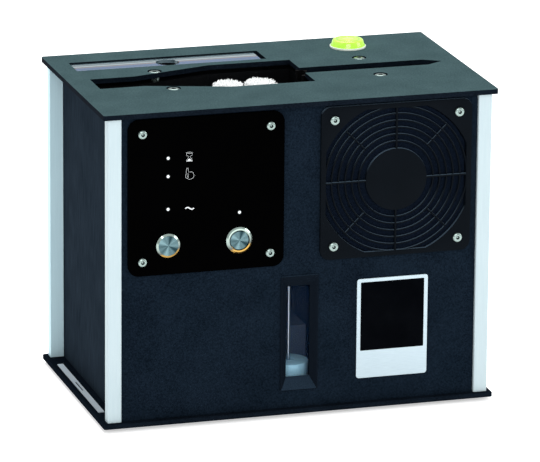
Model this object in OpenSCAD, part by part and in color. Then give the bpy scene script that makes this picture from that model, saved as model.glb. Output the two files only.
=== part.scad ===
// Upright record cleaning machine. A record stands in the slot of the top plate, four pile
// rollers wash it, two fans dry it, and the liquid goes back to the tank below.
// Millimetres. +Z is up, the front faces -Y, the origin is on the surface it stands on,
// under the middle of the case.

/* [Case] */
// Width of the top and base plates
plate_w = 328.6; // [326:0.2:350]
// Depth of the top and base plates
plate_d = 198; // [198:0.5:220]
// Height of the case from the underside of the base plate to the top face
case_h = 260; // [258:1:290]
// Thickness of the top and base plates
plate_t = 4.2; // [3.6:0.2:5]
// Radius of the plates' upright corners
plate_r = 2; // [1:0.5:6]
// Height of the rubber feet
foot_h = 3; // [2:0.5:8]
// Radius of the rubber feet
foot_r = 8; // [6:0.5:11]
// Distance from the plate's edges to the centre of a foot
foot_inset = 24; // [16:1:34]
// How far the plates stand out at each side of the box of panels
side_ledge = 15.7; // [14:0.1:17]
// How far the plates stand out in front of and behind the box of panels
front_ledge = 6; // [5.4:0.1:8]
// Thickness of the panels
panel_t = 3; // [2.6:0.1:3.4]
// Width of a corner post
post_w = 11.5; // [8:0.5:13]
// Depth of a corner post
post_d = 8.7; // [7:0.1:9]
// How far a post stands in front of the panel's face
post_proud = 2.7; // [1:0.1:2.8]
// Seam between a post and the panels
post_seam = 0.2; // [0.1:0.05:0.3]
// Width of the metal strip on the base plate's ledge
strip_w = 5; // [3:0.5:6]
// Length of the metal strip
strip_l = 132; // [80:1:150]
// Thickness of the metal strip
strip_t = 0.6; // [0.4:0.1:1.5]

/* [Slot in the top] */
// Distance from the box's left face to the slot's left end
slot_inset = 3.6; // [3:0.1:6]
// Half depth of the slot at its left end
slot_end_d = 16; // [12:0.5:18]
// Length of the slot's left end, before it widens
neck_l = 37; // [34:1:44]
// Left of the middle, where the roller hatch reaches its full depth
hatch_left = 40; // [38:0.5:50]
// Right of the middle, where the roller hatch ends
hatch_right = 29.5; // [28:0.5:34]
// Half depth of the roller hatch
hatch_d = 36; // [34:0.5:37]
// Half depth of the narrow slot
slit_d = 8.5; // [7.5:0.5:10]
// Length of the slot's pointed right end
tip_l = 14.5; // [10:0.5:20]
// How far the slot's point reaches past the box's right face
tip_reach = 0.9; // [0:0.1:2]

/* [Record and its supports] */
// Radius of the record
record_r = 150; // [146:0.5:150.5]
// Height of the record's centre above the top face
record_rise = 45; // [44:0.5:50]
// Radius of a support wheel
wheel_r = 8; // [6:0.5:9]
// Distance from the slot's left end to the wheel there
wheel_inset = 27; // [24:0.5:28]
// Radius of a support wheel's axle
axle_r = 2; // [1.5:0.1:2.5]

/* [Rollers and drive] */
// Radius of a roller over its pile
pile_r = 13.2; // [12:0.1:13.4]
// Distance between the two rollers of a row
roller_pitch = 27.5; // [27.2:0.1:29]
// Middle of the roller group, left of the case's middle
roller_mid = 15.25; // [13:0.25:17]
// Depth of the rollers' tops below the top face
roller_drop = 11.4; // [10:0.2:16]
// Number of teeth of a roller's gear
gear_teeth = 26; // [26:1:26]
// Module of the gears
gear_module = 1.2; // [1.2:0.01:1.22]
// Number of teeth of the motor's pinion
pinion_teeth = 13; // [12:1:14]
// Width of a roller's gear
gear_w = 6; // [4:0.5:7]
// Radius of a roller's spindle
spindle_r = 3; // [2.5:0.1:3.5]
// Radius of the roller motor
motor_r = 16; // [13:0.5:16]
// Length of the roller motor
motor_l = 50; // [40:1:60]

/* [Wash chamber and tank] */
// Height of the wash chamber
chamber_h = 115.4; // [110:0.2:122]
// Thickness of the wash chamber's walls
chamber_t = 2; // [1.6:0.1:2.2]
// Thickness of the wash chamber's floor
chamber_floor = 3; // [2.5:0.1:4]
// Height between the tank's lid and the wash chamber, for the gears
gear_space = 24; // [23:0.5:28]
// Thickness of the tank's walls and floor
tank_t = 3; // [2.5:0.1:4]
// Thickness of the tank's lid
lid_t = 3; // [2.5:0.1:4]
// Clearance between the tank and the side panels
tank_side_gap = 5.6; // [2:0.2:10]
// Radius of the float
float_r = 16.5; // [14:0.5:18]
// Height of the float
float_h = 15; // [10:0.5:20]
// Height of the float's underside above the tank's floor, at rest
float_rest = 13.3; // [8:0.1:20]
// Width of the pump
pump_w = 44; // [36:1:50]
// Depth of the pump
pump_d = 40; // [34:1:44]
// Height of the pump
pump_h = 48.8; // [40:0.2:52]

/* [Window and badge] */
// Width of the window's opening
window_w = 19.4; // [16:0.2:24]
// Distance from the window's opening up to the tank's lid
window_head = 5; // [4:0.5:12]
// Height of the opening's lower edge above the base plate's underside
window_z = 29; // [28:0.5:32]
// Width of the window frame's border at the sides
frame_side = 6.1; // [5:0.1:8]
// Width of the window frame's border above and below
frame_end = 10.35; // [9:0.05:10.5]
// Width of the badge
badge_w = 60.2; // [50:0.2:64]
// Distance from the badge up to the grille
badge_above = 18.5; // [14:0.5:24]
// Distance from the badge down to the base plate
badge_below = 19.8; // [14:0.2:24]
// Thickness of the badge
badge_t = 1.2; // [0.8:0.1:2]

/* [Control panel] */
// Width of the glossy control plate
console_w = 129.2; // [128:0.2:132]
// Height of the glossy control plate
console_h = 128.5; // [124:0.5:130]
// Thickness of the glossy control plate
console_t = 2.4; // [1.6:0.1:3]
// Radius of the control plate's corners
console_r = 9; // [5:0.5:12]
// Distance from the control plate to the box's left face
console_inset = 5.1; // [4:0.1:6]
// Distance from the control plate and the grille up to the top face
console_drop = 6.5; // [6:0.1:7]
// Radius of the indicator lenses
led_r = 1.6; // [1.2:0.1:2]
// Radius of the left button
start_r = 9.8; // [8.5:0.1:10.4]
// Radius of the right button's ring
select_r = 10.8; // [10.4:0.1:11.5]
// Radius of the right button's cap
select_cap_r = 7.8; // [7:0.1:8]
// Travel of the buttons
button_travel = 1.5; // [1:0.1:2]

/* [Fans] */
// Width of a fan's grille
grille_w = 127; // [124:0.5:130]
// Thickness of a fan's grille
grille_t = 2.5; // [2:0.1:3]
// Width across the flats of the grille's opening
grille_open = 118.4; // [112:0.2:118.8]
// Number of rings in a grille
grille_rings = 6; // [4:1:7]
// Distance from one grille ring to the next
ring_step = 5.7; // [5:0.1:5.8]
// Width of a grille ring
ring_w = 1.3; // [1:0.1:2]
// Width of a fan's frame
fan_w = 120; // [119.6:0.1:121]
// Thickness of a fan's frame
fan_t = 25; // [20:0.5:27]
// Distance between a fan's screws
fan_screw_span = 105; // [104.5:0.1:105.5]
// Distance from the grille to the box's right face
grille_inset = 5.3; // [4.5:0.1:6]
// Number of blades of a fan
fan_blades = 7; // [5:1:9]

/* [Filter and level] */
// Length of the filter's lid
filter_lid_l = 157; // [150:0.5:158]
// Depth of the filter's lid, front to back
filter_lid_d = 27.4; // [26:0.2:27.4]
// Thickness of the filter's lid
filter_lid_t = 3; // [2:0.1:3.4]
// Radius of the finger hole in the filter's lid
finger_r = 9.6; // [8:0.1:10.5]
// Depth of the filter's tray
tray_h = 30; // [24:0.5:34]
// Radius of the bubble level's base
level_r = 15; // [13:0.5:17]
// Height of the bubble level
level_h = 7; // [6:0.1:9]

/* [Hidden] */
$fn = 64;

// Running clearance of a shaft in its bore, and clearance of a screw in its hole
run_gap = 0.05;
screw_gap = 0.15;
// Small gap that keeps moving faces apart
face_gap = 0.3;
// Overshoot of a cut past the face that it opens
cut = 1;

// Heights and faces of the case
floor_z = foot_h + plate_t;
top_z = foot_h + case_h;
roof_z = top_z - plate_t;
face_y = plate_d / 2 - front_ledge;
inner_y = face_y - panel_t;
side_x = plate_w / 2 - side_ledge;
inner_x = side_x - panel_t;
box_w = 2 * side_x;

// Slot
slot_left = side_x - slot_inset;
neck_x = slot_left - neck_l;
slit_tip = side_x + tip_reach;
slit_taper = slit_tip - tip_l;

// Wash chamber, hung under the top plate on four spacers
spacer_h = 3.4;
spacer_r = 4.3;
flange_z = roof_z - spacer_h;
chamber_z = flange_z - chamber_h;
wash_z = chamber_z + chamber_floor;
chamber_end = inner_x - 0.2;
wash_end = chamber_end - chamber_t;
glue_gap = 0.1;
flange_t = 3;
flange_d = 39.5;
top_screw_x = 87.3;
top_screw_y = 28.4;
top_screw_r = 2;
top_head_r = 5.25;
top_head_h = 2;
head_sink = 2.2;
vent_w = 5;
vent_h = 32;
vent_count = 7;
vent_x = hatch_right + 15.5;
vent_end = 14.4;
vent_pitch = (wash_end - vent_end - vent_x) / (vent_count - 1);
vent_drop = 8;

// Tank and its lid, which also carries the gears
lid_z = chamber_z - gear_space;
tank_top = lid_z - lid_t;
window_depth = 4.4;
glass_t = 2.5;
glass_y = face_y - window_depth;
tank_y = glass_y - glass_t;
tank_x = inner_x - tank_side_gap;
tank_floor = floor_z + tank_t;
boss_h = 2;
boss_r = 6;

// Window
window_z0 = foot_h + window_z;
window_h = tank_top - window_head - window_z0;
window_mid = window_z0 + window_h / 2;
window_frame_w = window_w + 2 * frame_side;
window_frame_h = window_h + 2 * frame_end;
frame_mid = window_mid - 0.15;
frame_lip = 1.2;
frame_body_w = window_frame_w - 3.4;
frame_body_h = window_frame_h - 3.4;
tank_window_w = window_w + 3;
tank_window_h = window_h + 2;

// Float and pump
rod_r = 1.5;
float_bore = 3.2;
float_wall_gap = 3;
float_y = tank_y - tank_t - float_wall_gap - float_r;
float_z = tank_floor + float_rest;
collar_r = 4.5;
pump_y = float_y - float_r - 7;
hose_r = 4;
hose_bore = 2.5;
hose_x = -12;
hose_bend = 10;
hose_y = 58;
hose_rise = 10;

// Rollers
roller_row = gear_teeth * gear_module / 2;
roller_left = -roller_mid - roller_pitch / 2;
roller_right = -roller_mid + roller_pitch / 2;
bush_flange = 2;
bush_r = 5.5;
bush_flange_r = 7.5;
bush_top = wash_z + 2;
disc_z = bush_top + face_gap;
disc_t = 3;
disc_r = 9;
sleeve_z = disc_z + disc_t + face_gap;
sleeve_top = top_z - roller_drop;
hex_r = 4;
hex_gap = 0.2;
core_r = 8.5;
pile_round = 3;

// Gears. The left pair of rollers meshes on the upper level, the right pair on the lower one
gear_low = lid_z + boss_h + 0.5;
gear_gap = 1.5;
gear_high = gear_low + gear_w + gear_gap;
gear_span = 2 * gear_w + gear_gap;
addendum = 0.85;
dedendum = 1.15;
backlash = 0.17;
flank = 20;
transfer_y = -roller_row - sqrt(pow(2 * roller_row, 2) - pow(roller_pitch / 2, 2));
pinion_y = transfer_y - (gear_teeth + pinion_teeth) * gear_module / 2;
to_left = atan2(-roller_row - transfer_y, -roller_pitch / 2);
to_right = atan2(-roller_row - transfer_y, roller_pitch / 2);
transfer_turn = 90;
left_turn = meshed(to_left, transfer_turn, gear_teeth, gear_teeth);
right_turn = meshed(to_right, transfer_turn, gear_teeth, gear_teeth);
rear_left_turn = meshed(90, left_turn, gear_teeth, gear_teeth);
rear_right_turn = meshed(90, right_turn, gear_teeth, gear_teeth);
pinion_turn = meshed(-90, transfer_turn, gear_teeth, pinion_teeth);
axle_pin_r = 2.5;
motor_shaft_r = 2;
motor_plate_t = 3;
bracket_w = 2 * motor_r + 14;
motor_plate_z = gear_low + gear_span + 4;
motor_z = motor_plate_z + motor_plate_t;

// Record supports
wheel_x = slot_left - wheel_inset;
record_z = top_z + record_rise;
wheel_z = record_z - sqrt(pow(record_r + wheel_r, 2) - pow(wheel_x, 2));
wheel_w = 7;
wheel_groove = 1.2;
wheel_hub_r = 3.6;

// Control panel, placed from the middle of the case and from the top face
console_x = console_inset + console_w / 2 - side_x;
console_z = top_z - console_drop - console_h / 2;
console_y = face_y + console_t;
console_screw_inset = 11.65;
console_screw_r = 1.6;
console_screw_x = console_w / 2 - console_screw_inset;
console_screw_z = console_h / 2 - console_screw_inset;
led_x = console_x - 31.8;
led_drops = [39, 54, 81];
led_low_x = console_x + 27.4;
led_low_drop = 87.8;
start_x = console_x - 31.8;
select_x = console_x + 27.3;
button_z = top_z - 110.9;
start_proud = 2;
start_cap_t = 4;
start_bevel = 1.7;
start_edge = 1.1;
stem_r = 4;
stem_l = 9;
stem_bore_l = 12;
switch_r = 9.2;
switch_l = 20;
switch_nut_r = start_r + 3;
switch_nut_t = 3;
select_proud = 1.4;
select_groove = 0.6;
select_cap_t = 4;
board_gap = 6;
board_y = inner_y - board_gap;
board_t = 1.6;
board_w = 92;
board_h = 72;
board_x = console_x - 5.1;
board_z = top_z - 61;
board_hole_inset = 5;
standoff_r = 3;
can_r = 6;
can_h = 12;
can_pitch = 26;
header_w = 60;
header_d = 8;
header_h = 12;
header_drop = 28;

// Fans
fan_x = side_x - grille_inset - grille_w / 2;
fan_z = top_z - console_drop - grille_w / 2;
grille_r = 8;
grille_corner = 64.5;
hub_disc_r = 25.8;
ring_first = 31.5;
spoke_w = 1.6;
spoke_proud = 0.5;
foam_gap = 0.2;
fan_bore_r = 57.8;
fan_hub_r = 20;
rotor_r = 56.5;
rotor_t = 18;
rotor_hub_r = 19;
strut_t = 4;
rotor_gap = 0.6;
rotor_y = -inner_y + fan_t - strut_t - rotor_gap - rotor_t;
rotor_nose = 3;
blade_t = 1.6;
blade_pitch = 38;
blade_chord = 26;
fan_frame_r = 5;
fan_pin_r = 1.5;
fan_screw_r = 2;

// Badge, between the grille and the base plate
badge_x = fan_x - 1.3;
badge_h = fan_z - grille_w / 2 - badge_above - floor_z - badge_below;
badge_mid = floor_z + badge_below + badge_h / 2;
badge_r = 2.5;

// Filter, in the rear left of the top plate
filter_x0 = 0.6 - side_x;
filter_end_gap = 3;
lid_gap = 0.4;
filter_x1 = filter_x0 + lid_gap + filter_lid_l + filter_end_gap;
filter_y = 58.5;
filter_hole_d = filter_lid_d + 0.6;
filter_ledge = 4;
tray_t = 2.4;
tray_flange_t = 2.5;
tray_x0 = -inner_x + 0.3;
tray_x1 = filter_x1 + 4;
tray_flange_d = filter_hole_d + 6;
lid_x0 = filter_x0 + lid_gap;
finger_x = lid_x0 + filter_lid_l / 2 + 1.1;
spout_r = 5;
spout_bore = 3.5;
spout_x = filter_x1 - 32.4;
sponge_gap = 0.3;
sponge_drop = 7;

// Bubble level, on the rear right of the top plate
level_x = side_x - 59.3;
level_y = 65.5;
level_base_h = 1.6;
level_seat = 0.6;
level_dome = 0.8;
level_foot_r = level_r - 0.75;
level_vial_r = level_r - 2.5;

// Power module in the rear panel, and the drain
inlet_x = 48.6 - side_x;
inlet_z = top_z - 80;
inlet_w = 46;
inlet_h = 28;
inlet_body_w = 40;
inlet_body_h = 22;
inlet_depth = 20;
inlet_lip = 1.6;
inlet_r = 2;
inlet_part = 10;
socket_r = 3.25;
socket_pin_r = 1;
socket_depth = 10;
bay_w = 13;
bay_h = 19;
bay_depth = 10;
rocker_gap = 0.4;
rocker_tilt = 9;
rocker_pin_r = 1.2;
rocker_pin_in = 2.2;
rocker_sink = 2.6;
rocker_back = 2;
rocker_t = 6;
drain_x = 48.6 - side_x;
drain_z = tank_floor + 9;
drain_r = 10;
drain_bore = 6.5;
drain_end = face_y + 2.2;
plug_head_r = 10.5;
plug_head_t = 2.8;
plug_flute_r = 1;
drain_pipe_x = hatch_right - 5;
drain_pipe_y = 26;
drain_pipe_r = 5;
drain_pipe_bore = 3;
drain_pipe_below = 12;
valve_r = 8;
valve_inset = 4;

// Transducers on the wash chamber's left end
transducer_x = 19 - slot_left;
transducer_z = roof_z - 55;
transducer_r = 14;
transducer_t = 5;
horn_r = 10;
horn_l = 14;

// Turn of a driven gear that puts a gap where the driver has a tooth
function meshed(way, driver_turn, driver_teeth, driven_teeth) =
  way + 180 + (way - driver_turn) * driver_teeth / driven_teeth + 180 / driven_teeth;

// Half width of a tooth in degrees, at a distance from the gear's centre
function tooth_half(r, pitch_r, m) =
  (PI * m / 4 - backlash * m - (r - pitch_r) * tan(flank)) / r * 180 / PI;

function polar(r, a) = [r * cos(a), r * sin(a)];

function gear_points(teeth, m, turn) =
  let (pitch_r = teeth * m / 2, tip = pitch_r + addendum * m, root = pitch_r - dedendum * m)
  [for (i = [0:teeth - 1], side = [0:3])
    let (a = turn + i * 360 / teeth, r = (side == 0 || side == 3) ? root : tip)
    polar(r, a + (side < 2 ? -1 : 1) * tooth_half(r, pitch_r, m))];

// Outline of the slot seen from above, grown outwards, with its ends given
function slot_side(grow, left, right) = [
  [-left - grow, slot_end_d + grow], [-neck_x, slot_end_d + grow],
  [-hatch_left, hatch_d + grow], [hatch_right + grow, hatch_d + grow],
  [hatch_right + grow, slit_d + grow], [right + grow, slit_d + grow]];

function mirrored(points) =
  [for (i = [len(points) - 1:-1:0]) [points[i][0], -points[i][1]]];

module round_rect(w, h, r) {
  square([w - 2 * r, h], center = true);
  square([w, h - 2 * r], center = true);
  for (x = [-1, 1], y = [-1, 1])
    translate([x * (w / 2 - r), y * (h / 2 - r)]) circle(r);
}

// A flat shape drawn in X and Z, standing with its back at y_back and its front t nearer
module upright(y_back, t) {
  translate([0, y_back, 0]) rotate([90, 0, 0]) linear_extrude(t) children();
}

// A round bar along Y, from y0 back to y1
module bar_y(x, z, y0, y1, r) {
  translate([x, y0, z]) rotate([-90, 0, 0]) cylinder(r = r, h = y1 - y0);
}

// Puts a shape built along +Z so that it points backwards, its own bottom to the front
module facing_front(x, y, z) {
  translate([x, y, z]) rotate([-90, 0, 0]) children();
}

// A screw with its seat at zero, the head below and the shank above
module screw(head_r, head_h, shank_r, shank_l, socket_r) {
  difference() {
    union() {
      translate([0, 0, -head_h]) cylinder(r1 = head_r * 0.78, r2 = head_r, h = head_h * 0.5);
      translate([0, 0, -head_h * 0.5]) cylinder(r = head_r, h = head_h * 0.5);
      cylinder(r = shank_r, h = shank_l);
    }
    translate([0, 0, -head_h - cut]) cylinder(r = socket_r, h = head_h * 0.6 + cut, $fn = 6);
  }
}

module base_plate() {
  color("#171b24")
    translate([0, 0, foot_h]) linear_extrude(plate_t) round_rect(plate_w, plate_d, plate_r);
}

module rubber_feet() {
  color("#151515")
    for (x = [-1, 1], y = [-1, 1])
      translate([x * (plate_w / 2 - foot_inset), y * (plate_d / 2 - foot_inset), 0])
        cylinder(r = foot_r, h = foot_h);
}

module slot_shape() {
  side = concat(slot_side(0, slot_left, slit_taper), [[slit_tip, 0]]);
  polygon(concat(side, [for (i = [len(side) - 2:-1:0]) [side[i][0], -side[i][1]]]));
}

module top_plate() {
  head_room = top_head_r + 0.7;
  color("#4f6062")
    difference() {
      translate([0, 0, roof_z]) linear_extrude(plate_t) round_rect(plate_w, plate_d, plate_r);
      translate([0, 0, roof_z - cut]) linear_extrude(plate_t + 2 * cut) slot_shape();
      translate([filter_x0, filter_y - filter_hole_d / 2, roof_z - cut])
        cube([filter_x1 - filter_x0, filter_hole_d, plate_t + 2 * cut]);
      for (x = [-1, 1], y = [-1, 1])
        translate([x * top_screw_x, y * top_screw_y, 0]) {
          translate([0, 0, top_z - head_sink]) cylinder(r = head_room, h = head_sink + cut);
          translate([0, 0, roof_z - cut])
            cylinder(r = top_screw_r + screw_gap, h = plate_t + 2 * cut);
        }
    }
}

// Screws that carry the wash chamber, each with a round spacer under the top plate
module top_screws() {
  seat_z = top_z - head_sink;
  shank_l = seat_z - flange_z + flange_t + 2;
  color("#d5d8d8")
    for (x = [-1, 1], y = [-1, 1])
      translate([x * top_screw_x, y * top_screw_y, 0]) {
        translate([0, 0, seat_z]) mirror([0, 0, 1])
          screw(top_head_r, top_head_h, top_screw_r, shank_l, top_head_r * 0.3);
        difference() {
          translate([0, 0, flange_z]) cylinder(r = spacer_r, h = spacer_h);
          translate([0, 0, flange_z - cut])
            cylinder(r = top_screw_r + screw_gap, h = spacer_h + 2 * cut);
        }
      }
}

module corner_posts() {
  bevel = 0.6;
  post_x0 = side_x + post_seam;
  post_y1 = face_y + post_proud;
  color("#cfdde0")
    for (x = [0, 1], y = [0, 1])
      mirror([x, 0, 0]) mirror([0, y, 0])
        translate([post_x0, -post_y1, floor_z]) linear_extrude(roof_z - floor_z)
          polygon([[0, bevel], [bevel, 0], [post_w - bevel, 0], [post_w, bevel],
            [post_w, post_d], [0, post_d]]);
}

module fan_opening(shrink) {
  intersection() {
    square(grille_open - 2 * shrink, center = true);
    circle(grille_corner - shrink);
  }
}

module fan_screw_holes(r) {
  for (x = [-1, 1], z = [-1, 1])
    translate([x * fan_screw_span / 2, z * fan_screw_span / 2]) circle(r);
}

module front_panel() {
  color("#161b26")
    upright(-inner_y, panel_t)
      difference() {
        translate([-side_x, floor_z]) square([box_w, roof_z - floor_z]);
        translate([fan_x, fan_z]) fan_opening(0);
        translate([fan_x, fan_z]) fan_screw_holes(fan_screw_r + screw_gap);
        translate([0, frame_mid])
          square([frame_body_w + 2 * face_gap, frame_body_h + 2 * face_gap], center = true);
        for (x = [-1, 1], z = [-1, 1])
          translate([console_x + x * console_screw_x, console_z + z * console_screw_z])
            circle(console_screw_r + screw_gap);
        for (d = led_drops) translate([led_x, top_z - d]) circle(led_r + screw_gap);
        translate([led_low_x, top_z - led_low_drop]) circle(led_r + screw_gap);
        translate([start_x, button_z]) circle(start_r + face_gap);
        translate([select_x, button_z]) circle(switch_r + screw_gap);
      }
}

module rear_panel() {
  color("#161b26")
    mirror([0, 1, 0]) upright(-inner_y, panel_t)
      difference() {
        translate([-side_x, floor_z]) square([box_w, roof_z - floor_z]);
        translate([fan_x, fan_z]) fan_opening(0);
        translate([fan_x, fan_z]) fan_screw_holes(fan_screw_r + screw_gap);
        translate([inlet_x, inlet_z]) square([inlet_body_w + 0.4, inlet_body_h + 0.4], center = true);
        translate([drain_x, drain_z]) circle(drain_r + face_gap);
      }
}

module side_panels() {
  color("#1b1e26")
    for (x = [0, 1])
      mirror([x, 0, 0])
        translate([inner_x, -inner_y, floor_z]) cube([panel_t, 2 * inner_y, roof_z - floor_z]);
}

module base_strip() {
  slot_l = 24;
  slot_w = 1.2;
  slot_off = 4;
  strip_out = 1.2;
  color("#c8d2d6")
    translate([-plate_w / 2 + side_ledge / 2 - strip_out, 0, floor_z]) linear_extrude(strip_t)
      difference() {
        square([strip_w, strip_l], center = true);
        translate([0, slot_off]) square([slot_w, slot_l], center = true);
      }
}

module control_plate() {
  color("#020303")
    upright(-face_y, console_t)
      difference() {
        translate([console_x, console_z]) round_rect(console_w, console_h, console_r);
        for (x = [-1, 1], z = [-1, 1])
          translate([console_x + x * console_screw_x, console_z + z * console_screw_z])
            circle(console_screw_r + screw_gap);
        for (d = led_drops) translate([led_x, top_z - d]) circle(led_r + screw_gap);
        translate([led_low_x, top_z - led_low_drop]) circle(led_r + screw_gap);
        translate([start_x, button_z]) circle(start_r + face_gap);
        translate([select_x, button_z]) circle(switch_r + screw_gap);
      }
}

module panel_screws() {
  color("#d5dbdb")
    for (x = [-1, 1], z = [-1, 1])
      facing_front(console_x + x * console_screw_x, -console_y, console_z + z * console_screw_z)
        screw(3.75, 2.2, console_screw_r, console_t + panel_t + 1.5, 1.3);
}

module indicator_lenses() {
  proud = 0.3;
  color("#f2f6f6") {
    for (d = led_drops) bar_y(led_x, top_z - d, -console_y - proud, -board_y, led_r);
    bar_y(led_low_x, top_z - led_low_drop, -console_y - proud, -board_y, led_r);
  }
}

// Cap with a bevelled rim, and a stem that runs in the switch behind it
module start_button() {
  front_y = -console_y - start_proud;
  color("#7f9399")
    facing_front(start_x, front_y, button_z) {
      cylinder(r1 = start_r - start_bevel, r2 = start_r, h = start_edge);
      translate([0, 0, start_edge]) cylinder(r = start_r, h = start_cap_t - start_edge);
      translate([0, 0, start_cap_t]) cylinder(r = stem_r, h = stem_l);
    }
}

module start_switch() {
  cap_back = -console_y - start_proud + start_cap_t;
  body_y = cap_back + button_travel + face_gap;
  nut_z = -inner_y - body_y;
  color("#2b2b2b")
    facing_front(start_x, body_y, button_z)
      difference() {
        union() {
          cylinder(r = start_r + face_gap - screw_gap, h = nut_z);
          translate([0, 0, nut_z]) cylinder(r = switch_nut_r, h = switch_nut_t);
          translate([0, 0, nut_z]) cylinder(r = switch_r, h = switch_l);
        }
        translate([0, 0, -cut]) cylinder(r = stem_r + run_gap, h = stem_bore_l + cut);
      }
}

module select_bezel() {
  front_y = -console_y - select_proud;
  bore = select_cap_r + select_groove;
  bore_l = select_cap_t + 1 + button_travel;
  lip_in = 1.2;
  color("#8c9b9e")
    facing_front(select_x, front_y, button_z)
      difference() {
        union() {
          cylinder(r1 = select_r - lip_in, r2 = select_r, h = select_proud * 0.7);
          translate([0, 0, select_proud * 0.7]) cylinder(r = select_r, h = select_proud * 0.3);
          translate([0, 0, select_proud]) cylinder(r = switch_r, h = switch_l);
        }
        translate([0, 0, -cut]) cylinder(r = bore, h = bore_l + cut);
        translate([0, 0, bore_l - cut]) cylinder(r = stem_r + run_gap, h = stem_bore_l);
      }
}

module select_button() {
  front_y = -console_y - select_proud - 0.2;
  edge = 0.5;
  color("#8fa6ac")
    facing_front(select_x, front_y, button_z) {
      cylinder(r1 = select_cap_r - edge, r2 = select_cap_r, h = edge);
      translate([0, 0, edge]) cylinder(r = select_cap_r, h = select_cap_t - edge);
      translate([0, 0, select_cap_t]) cylinder(r = stem_r, h = stem_l);
    }
}

// Circuit board on four standoffs behind the control plate
module control_board() {
  color("#1f5a3a") {
    upright(-board_y + board_t, board_t)
      translate([board_x, board_z]) square([board_w, board_h], center = true);
    for (x = [-1, 1], z = [-1, 1])
      bar_y(board_x + x * (board_w / 2 - board_hole_inset),
        board_z + z * (board_h / 2 - board_hole_inset), -inner_y, -board_y, standoff_r);
    for (i = [-1:1])
      bar_y(board_x + i * can_pitch, board_z, -board_y + board_t, -board_y + board_t + can_h,
        can_r);
    translate([board_x - header_w / 2, -board_y + board_t, board_z - header_drop])
      cube([header_w, header_d, header_h]);
  }
}

// Plate with a central disc, rings, four full spokes and four part spokes
module grille() {
  color("#14181c") {
    upright(-face_y, grille_t)
      difference() {
        translate([fan_x, fan_z]) round_rect(grille_w, grille_w, grille_r);
        translate([fan_x, fan_z]) fan_opening(0);
        translate([fan_x, fan_z]) fan_screw_holes(fan_screw_r + screw_gap);
      }
    upright(-face_y, grille_t)
      translate([fan_x, fan_z]) circle(hub_disc_r);
    upright(-face_y, grille_t - spoke_proud)
      translate([fan_x, fan_z])
        intersection() {
          fan_opening(-0.01);
          for (i = [0:grille_rings - 1])
            difference() {
              circle(ring_first + i * ring_step + ring_w / 2);
              circle(ring_first + i * ring_step - ring_w / 2);
            }
        }
    upright(-face_y, grille_t)
      translate([fan_x, fan_z])
        for (a = [0:90:270])
          rotate(a) translate([hub_disc_r - 1, -spoke_w / 2])
            square([grille_open / 2 - hub_disc_r + 1.5, spoke_w]);
    upright(-face_y, grille_t - spoke_proud)
      translate([fan_x, fan_z])
        for (a = [45:90:315])
          rotate(a) translate([ring_first + ring_step, -ring_w / 2])
            square([(grille_rings - 2) * ring_step, ring_w]);
  }
}

module grille_front() { grille(); }

module grille_rear() { mirror([0, 1, 0]) grille(); }

module grille_screws() {
  grip = grille_t + panel_t + fan_t - 1;
  color("#dfe5e4")
    for (back = [0, 1], x = [-1, 1], z = [-1, 1])
      mirror([0, back, 0])
        facing_front(fan_x + x * fan_screw_span / 2, -face_y - grille_t, fan_z + z * fan_screw_span / 2)
          screw(4, 2.2, fan_screw_r, grip, 1.3);
}

// Foam pads that fill the openings of the panels behind the grilles
module fan_foams() {
  color("#101a2c")
    for (back = [0, 1])
      mirror([0, back, 0])
        upright(-inner_y, panel_t) translate([fan_x, fan_z]) fan_opening(foam_gap);
}

module fan_frame() {
  upright(-inner_y + fan_t, fan_t)
    difference() {
      translate([fan_x, fan_z]) round_rect(fan_w, fan_w, fan_frame_r);
      translate([fan_x, fan_z]) circle(fan_bore_r);
      translate([fan_x, fan_z]) fan_screw_holes(fan_screw_r + screw_gap);
    }
  upright(-inner_y + fan_t, strut_t)
    translate([fan_x, fan_z]) {
      circle(fan_hub_r);
      for (a = [45:90:315])
        rotate(a) translate([fan_hub_r - 2, -strut_t / 2])
          square([fan_bore_r - fan_hub_r + 3, strut_t]);
    }
  bar_y(fan_x, fan_z, rotor_y + rotor_nose + face_gap, -inner_y + fan_t - strut_t, fan_pin_r);
}

module fan_frames() {
  color("#202326")
    for (back = [0, 1]) mirror([0, back, 0]) fan_frame();
}

module fan_rotor() {
  facing_front(fan_x, rotor_y, fan_z)
    difference() {
      union() {
        cylinder(r = rotor_hub_r, h = rotor_t);
        intersection() {
          cylinder(r = rotor_r, h = rotor_t);
          for (i = [0:fan_blades - 1])
            rotate(i * 360 / fan_blades)
              translate([rotor_hub_r - 2, 0, rotor_t / 2]) rotate([blade_pitch, 0, 0])
                translate([0, -blade_chord / 2, -blade_t / 2])
                  cube([rotor_r, blade_chord, blade_t]);
        }
      }
      translate([0, 0, rotor_nose]) cylinder(r = fan_pin_r + run_gap, h = rotor_t);
    }
}

module fan_rotor_front() { color("#2a2d30") fan_rotor(); }

module fan_rotor_rear() { color("#2a2d30") mirror([0, 1, 0]) fan_rotor(); }

// Frame with a lip on the panel and four sides that slope in to the opening
module window_bezel() {
  mouth_w = window_frame_w - 2.4;
  mouth_h = window_frame_h - 2.4;
  mouth_y = -face_y - frame_lip;
  color("#0c0f14")
    difference() {
      union() {
        upright(-face_y, frame_lip)
          translate([0, frame_mid]) round_rect(window_frame_w, window_frame_h, 1.5);
        upright(-glass_y, window_depth)
          translate([0, frame_mid]) square([frame_body_w, frame_body_h], center = true);
      }
      hull() {
        translate([-mouth_w / 2, mouth_y - 0.02, frame_mid - mouth_h / 2])
          cube([mouth_w, 0.02, mouth_h]);
        translate([-window_w / 2, -glass_y - 0.8, window_z0]) cube([window_w, 0.02, window_h]);
      }
      translate([-window_w / 2, -glass_y - cut, window_z0])
        cube([window_w, 2 * cut, window_h]);
    }
}

module sight_glass() {
  color("#dfeaf0", 0.4)
    upright(-tank_y, glass_t)
      translate([0, window_mid]) square([window_w + 9, window_h + 6], center = true);
}

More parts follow.
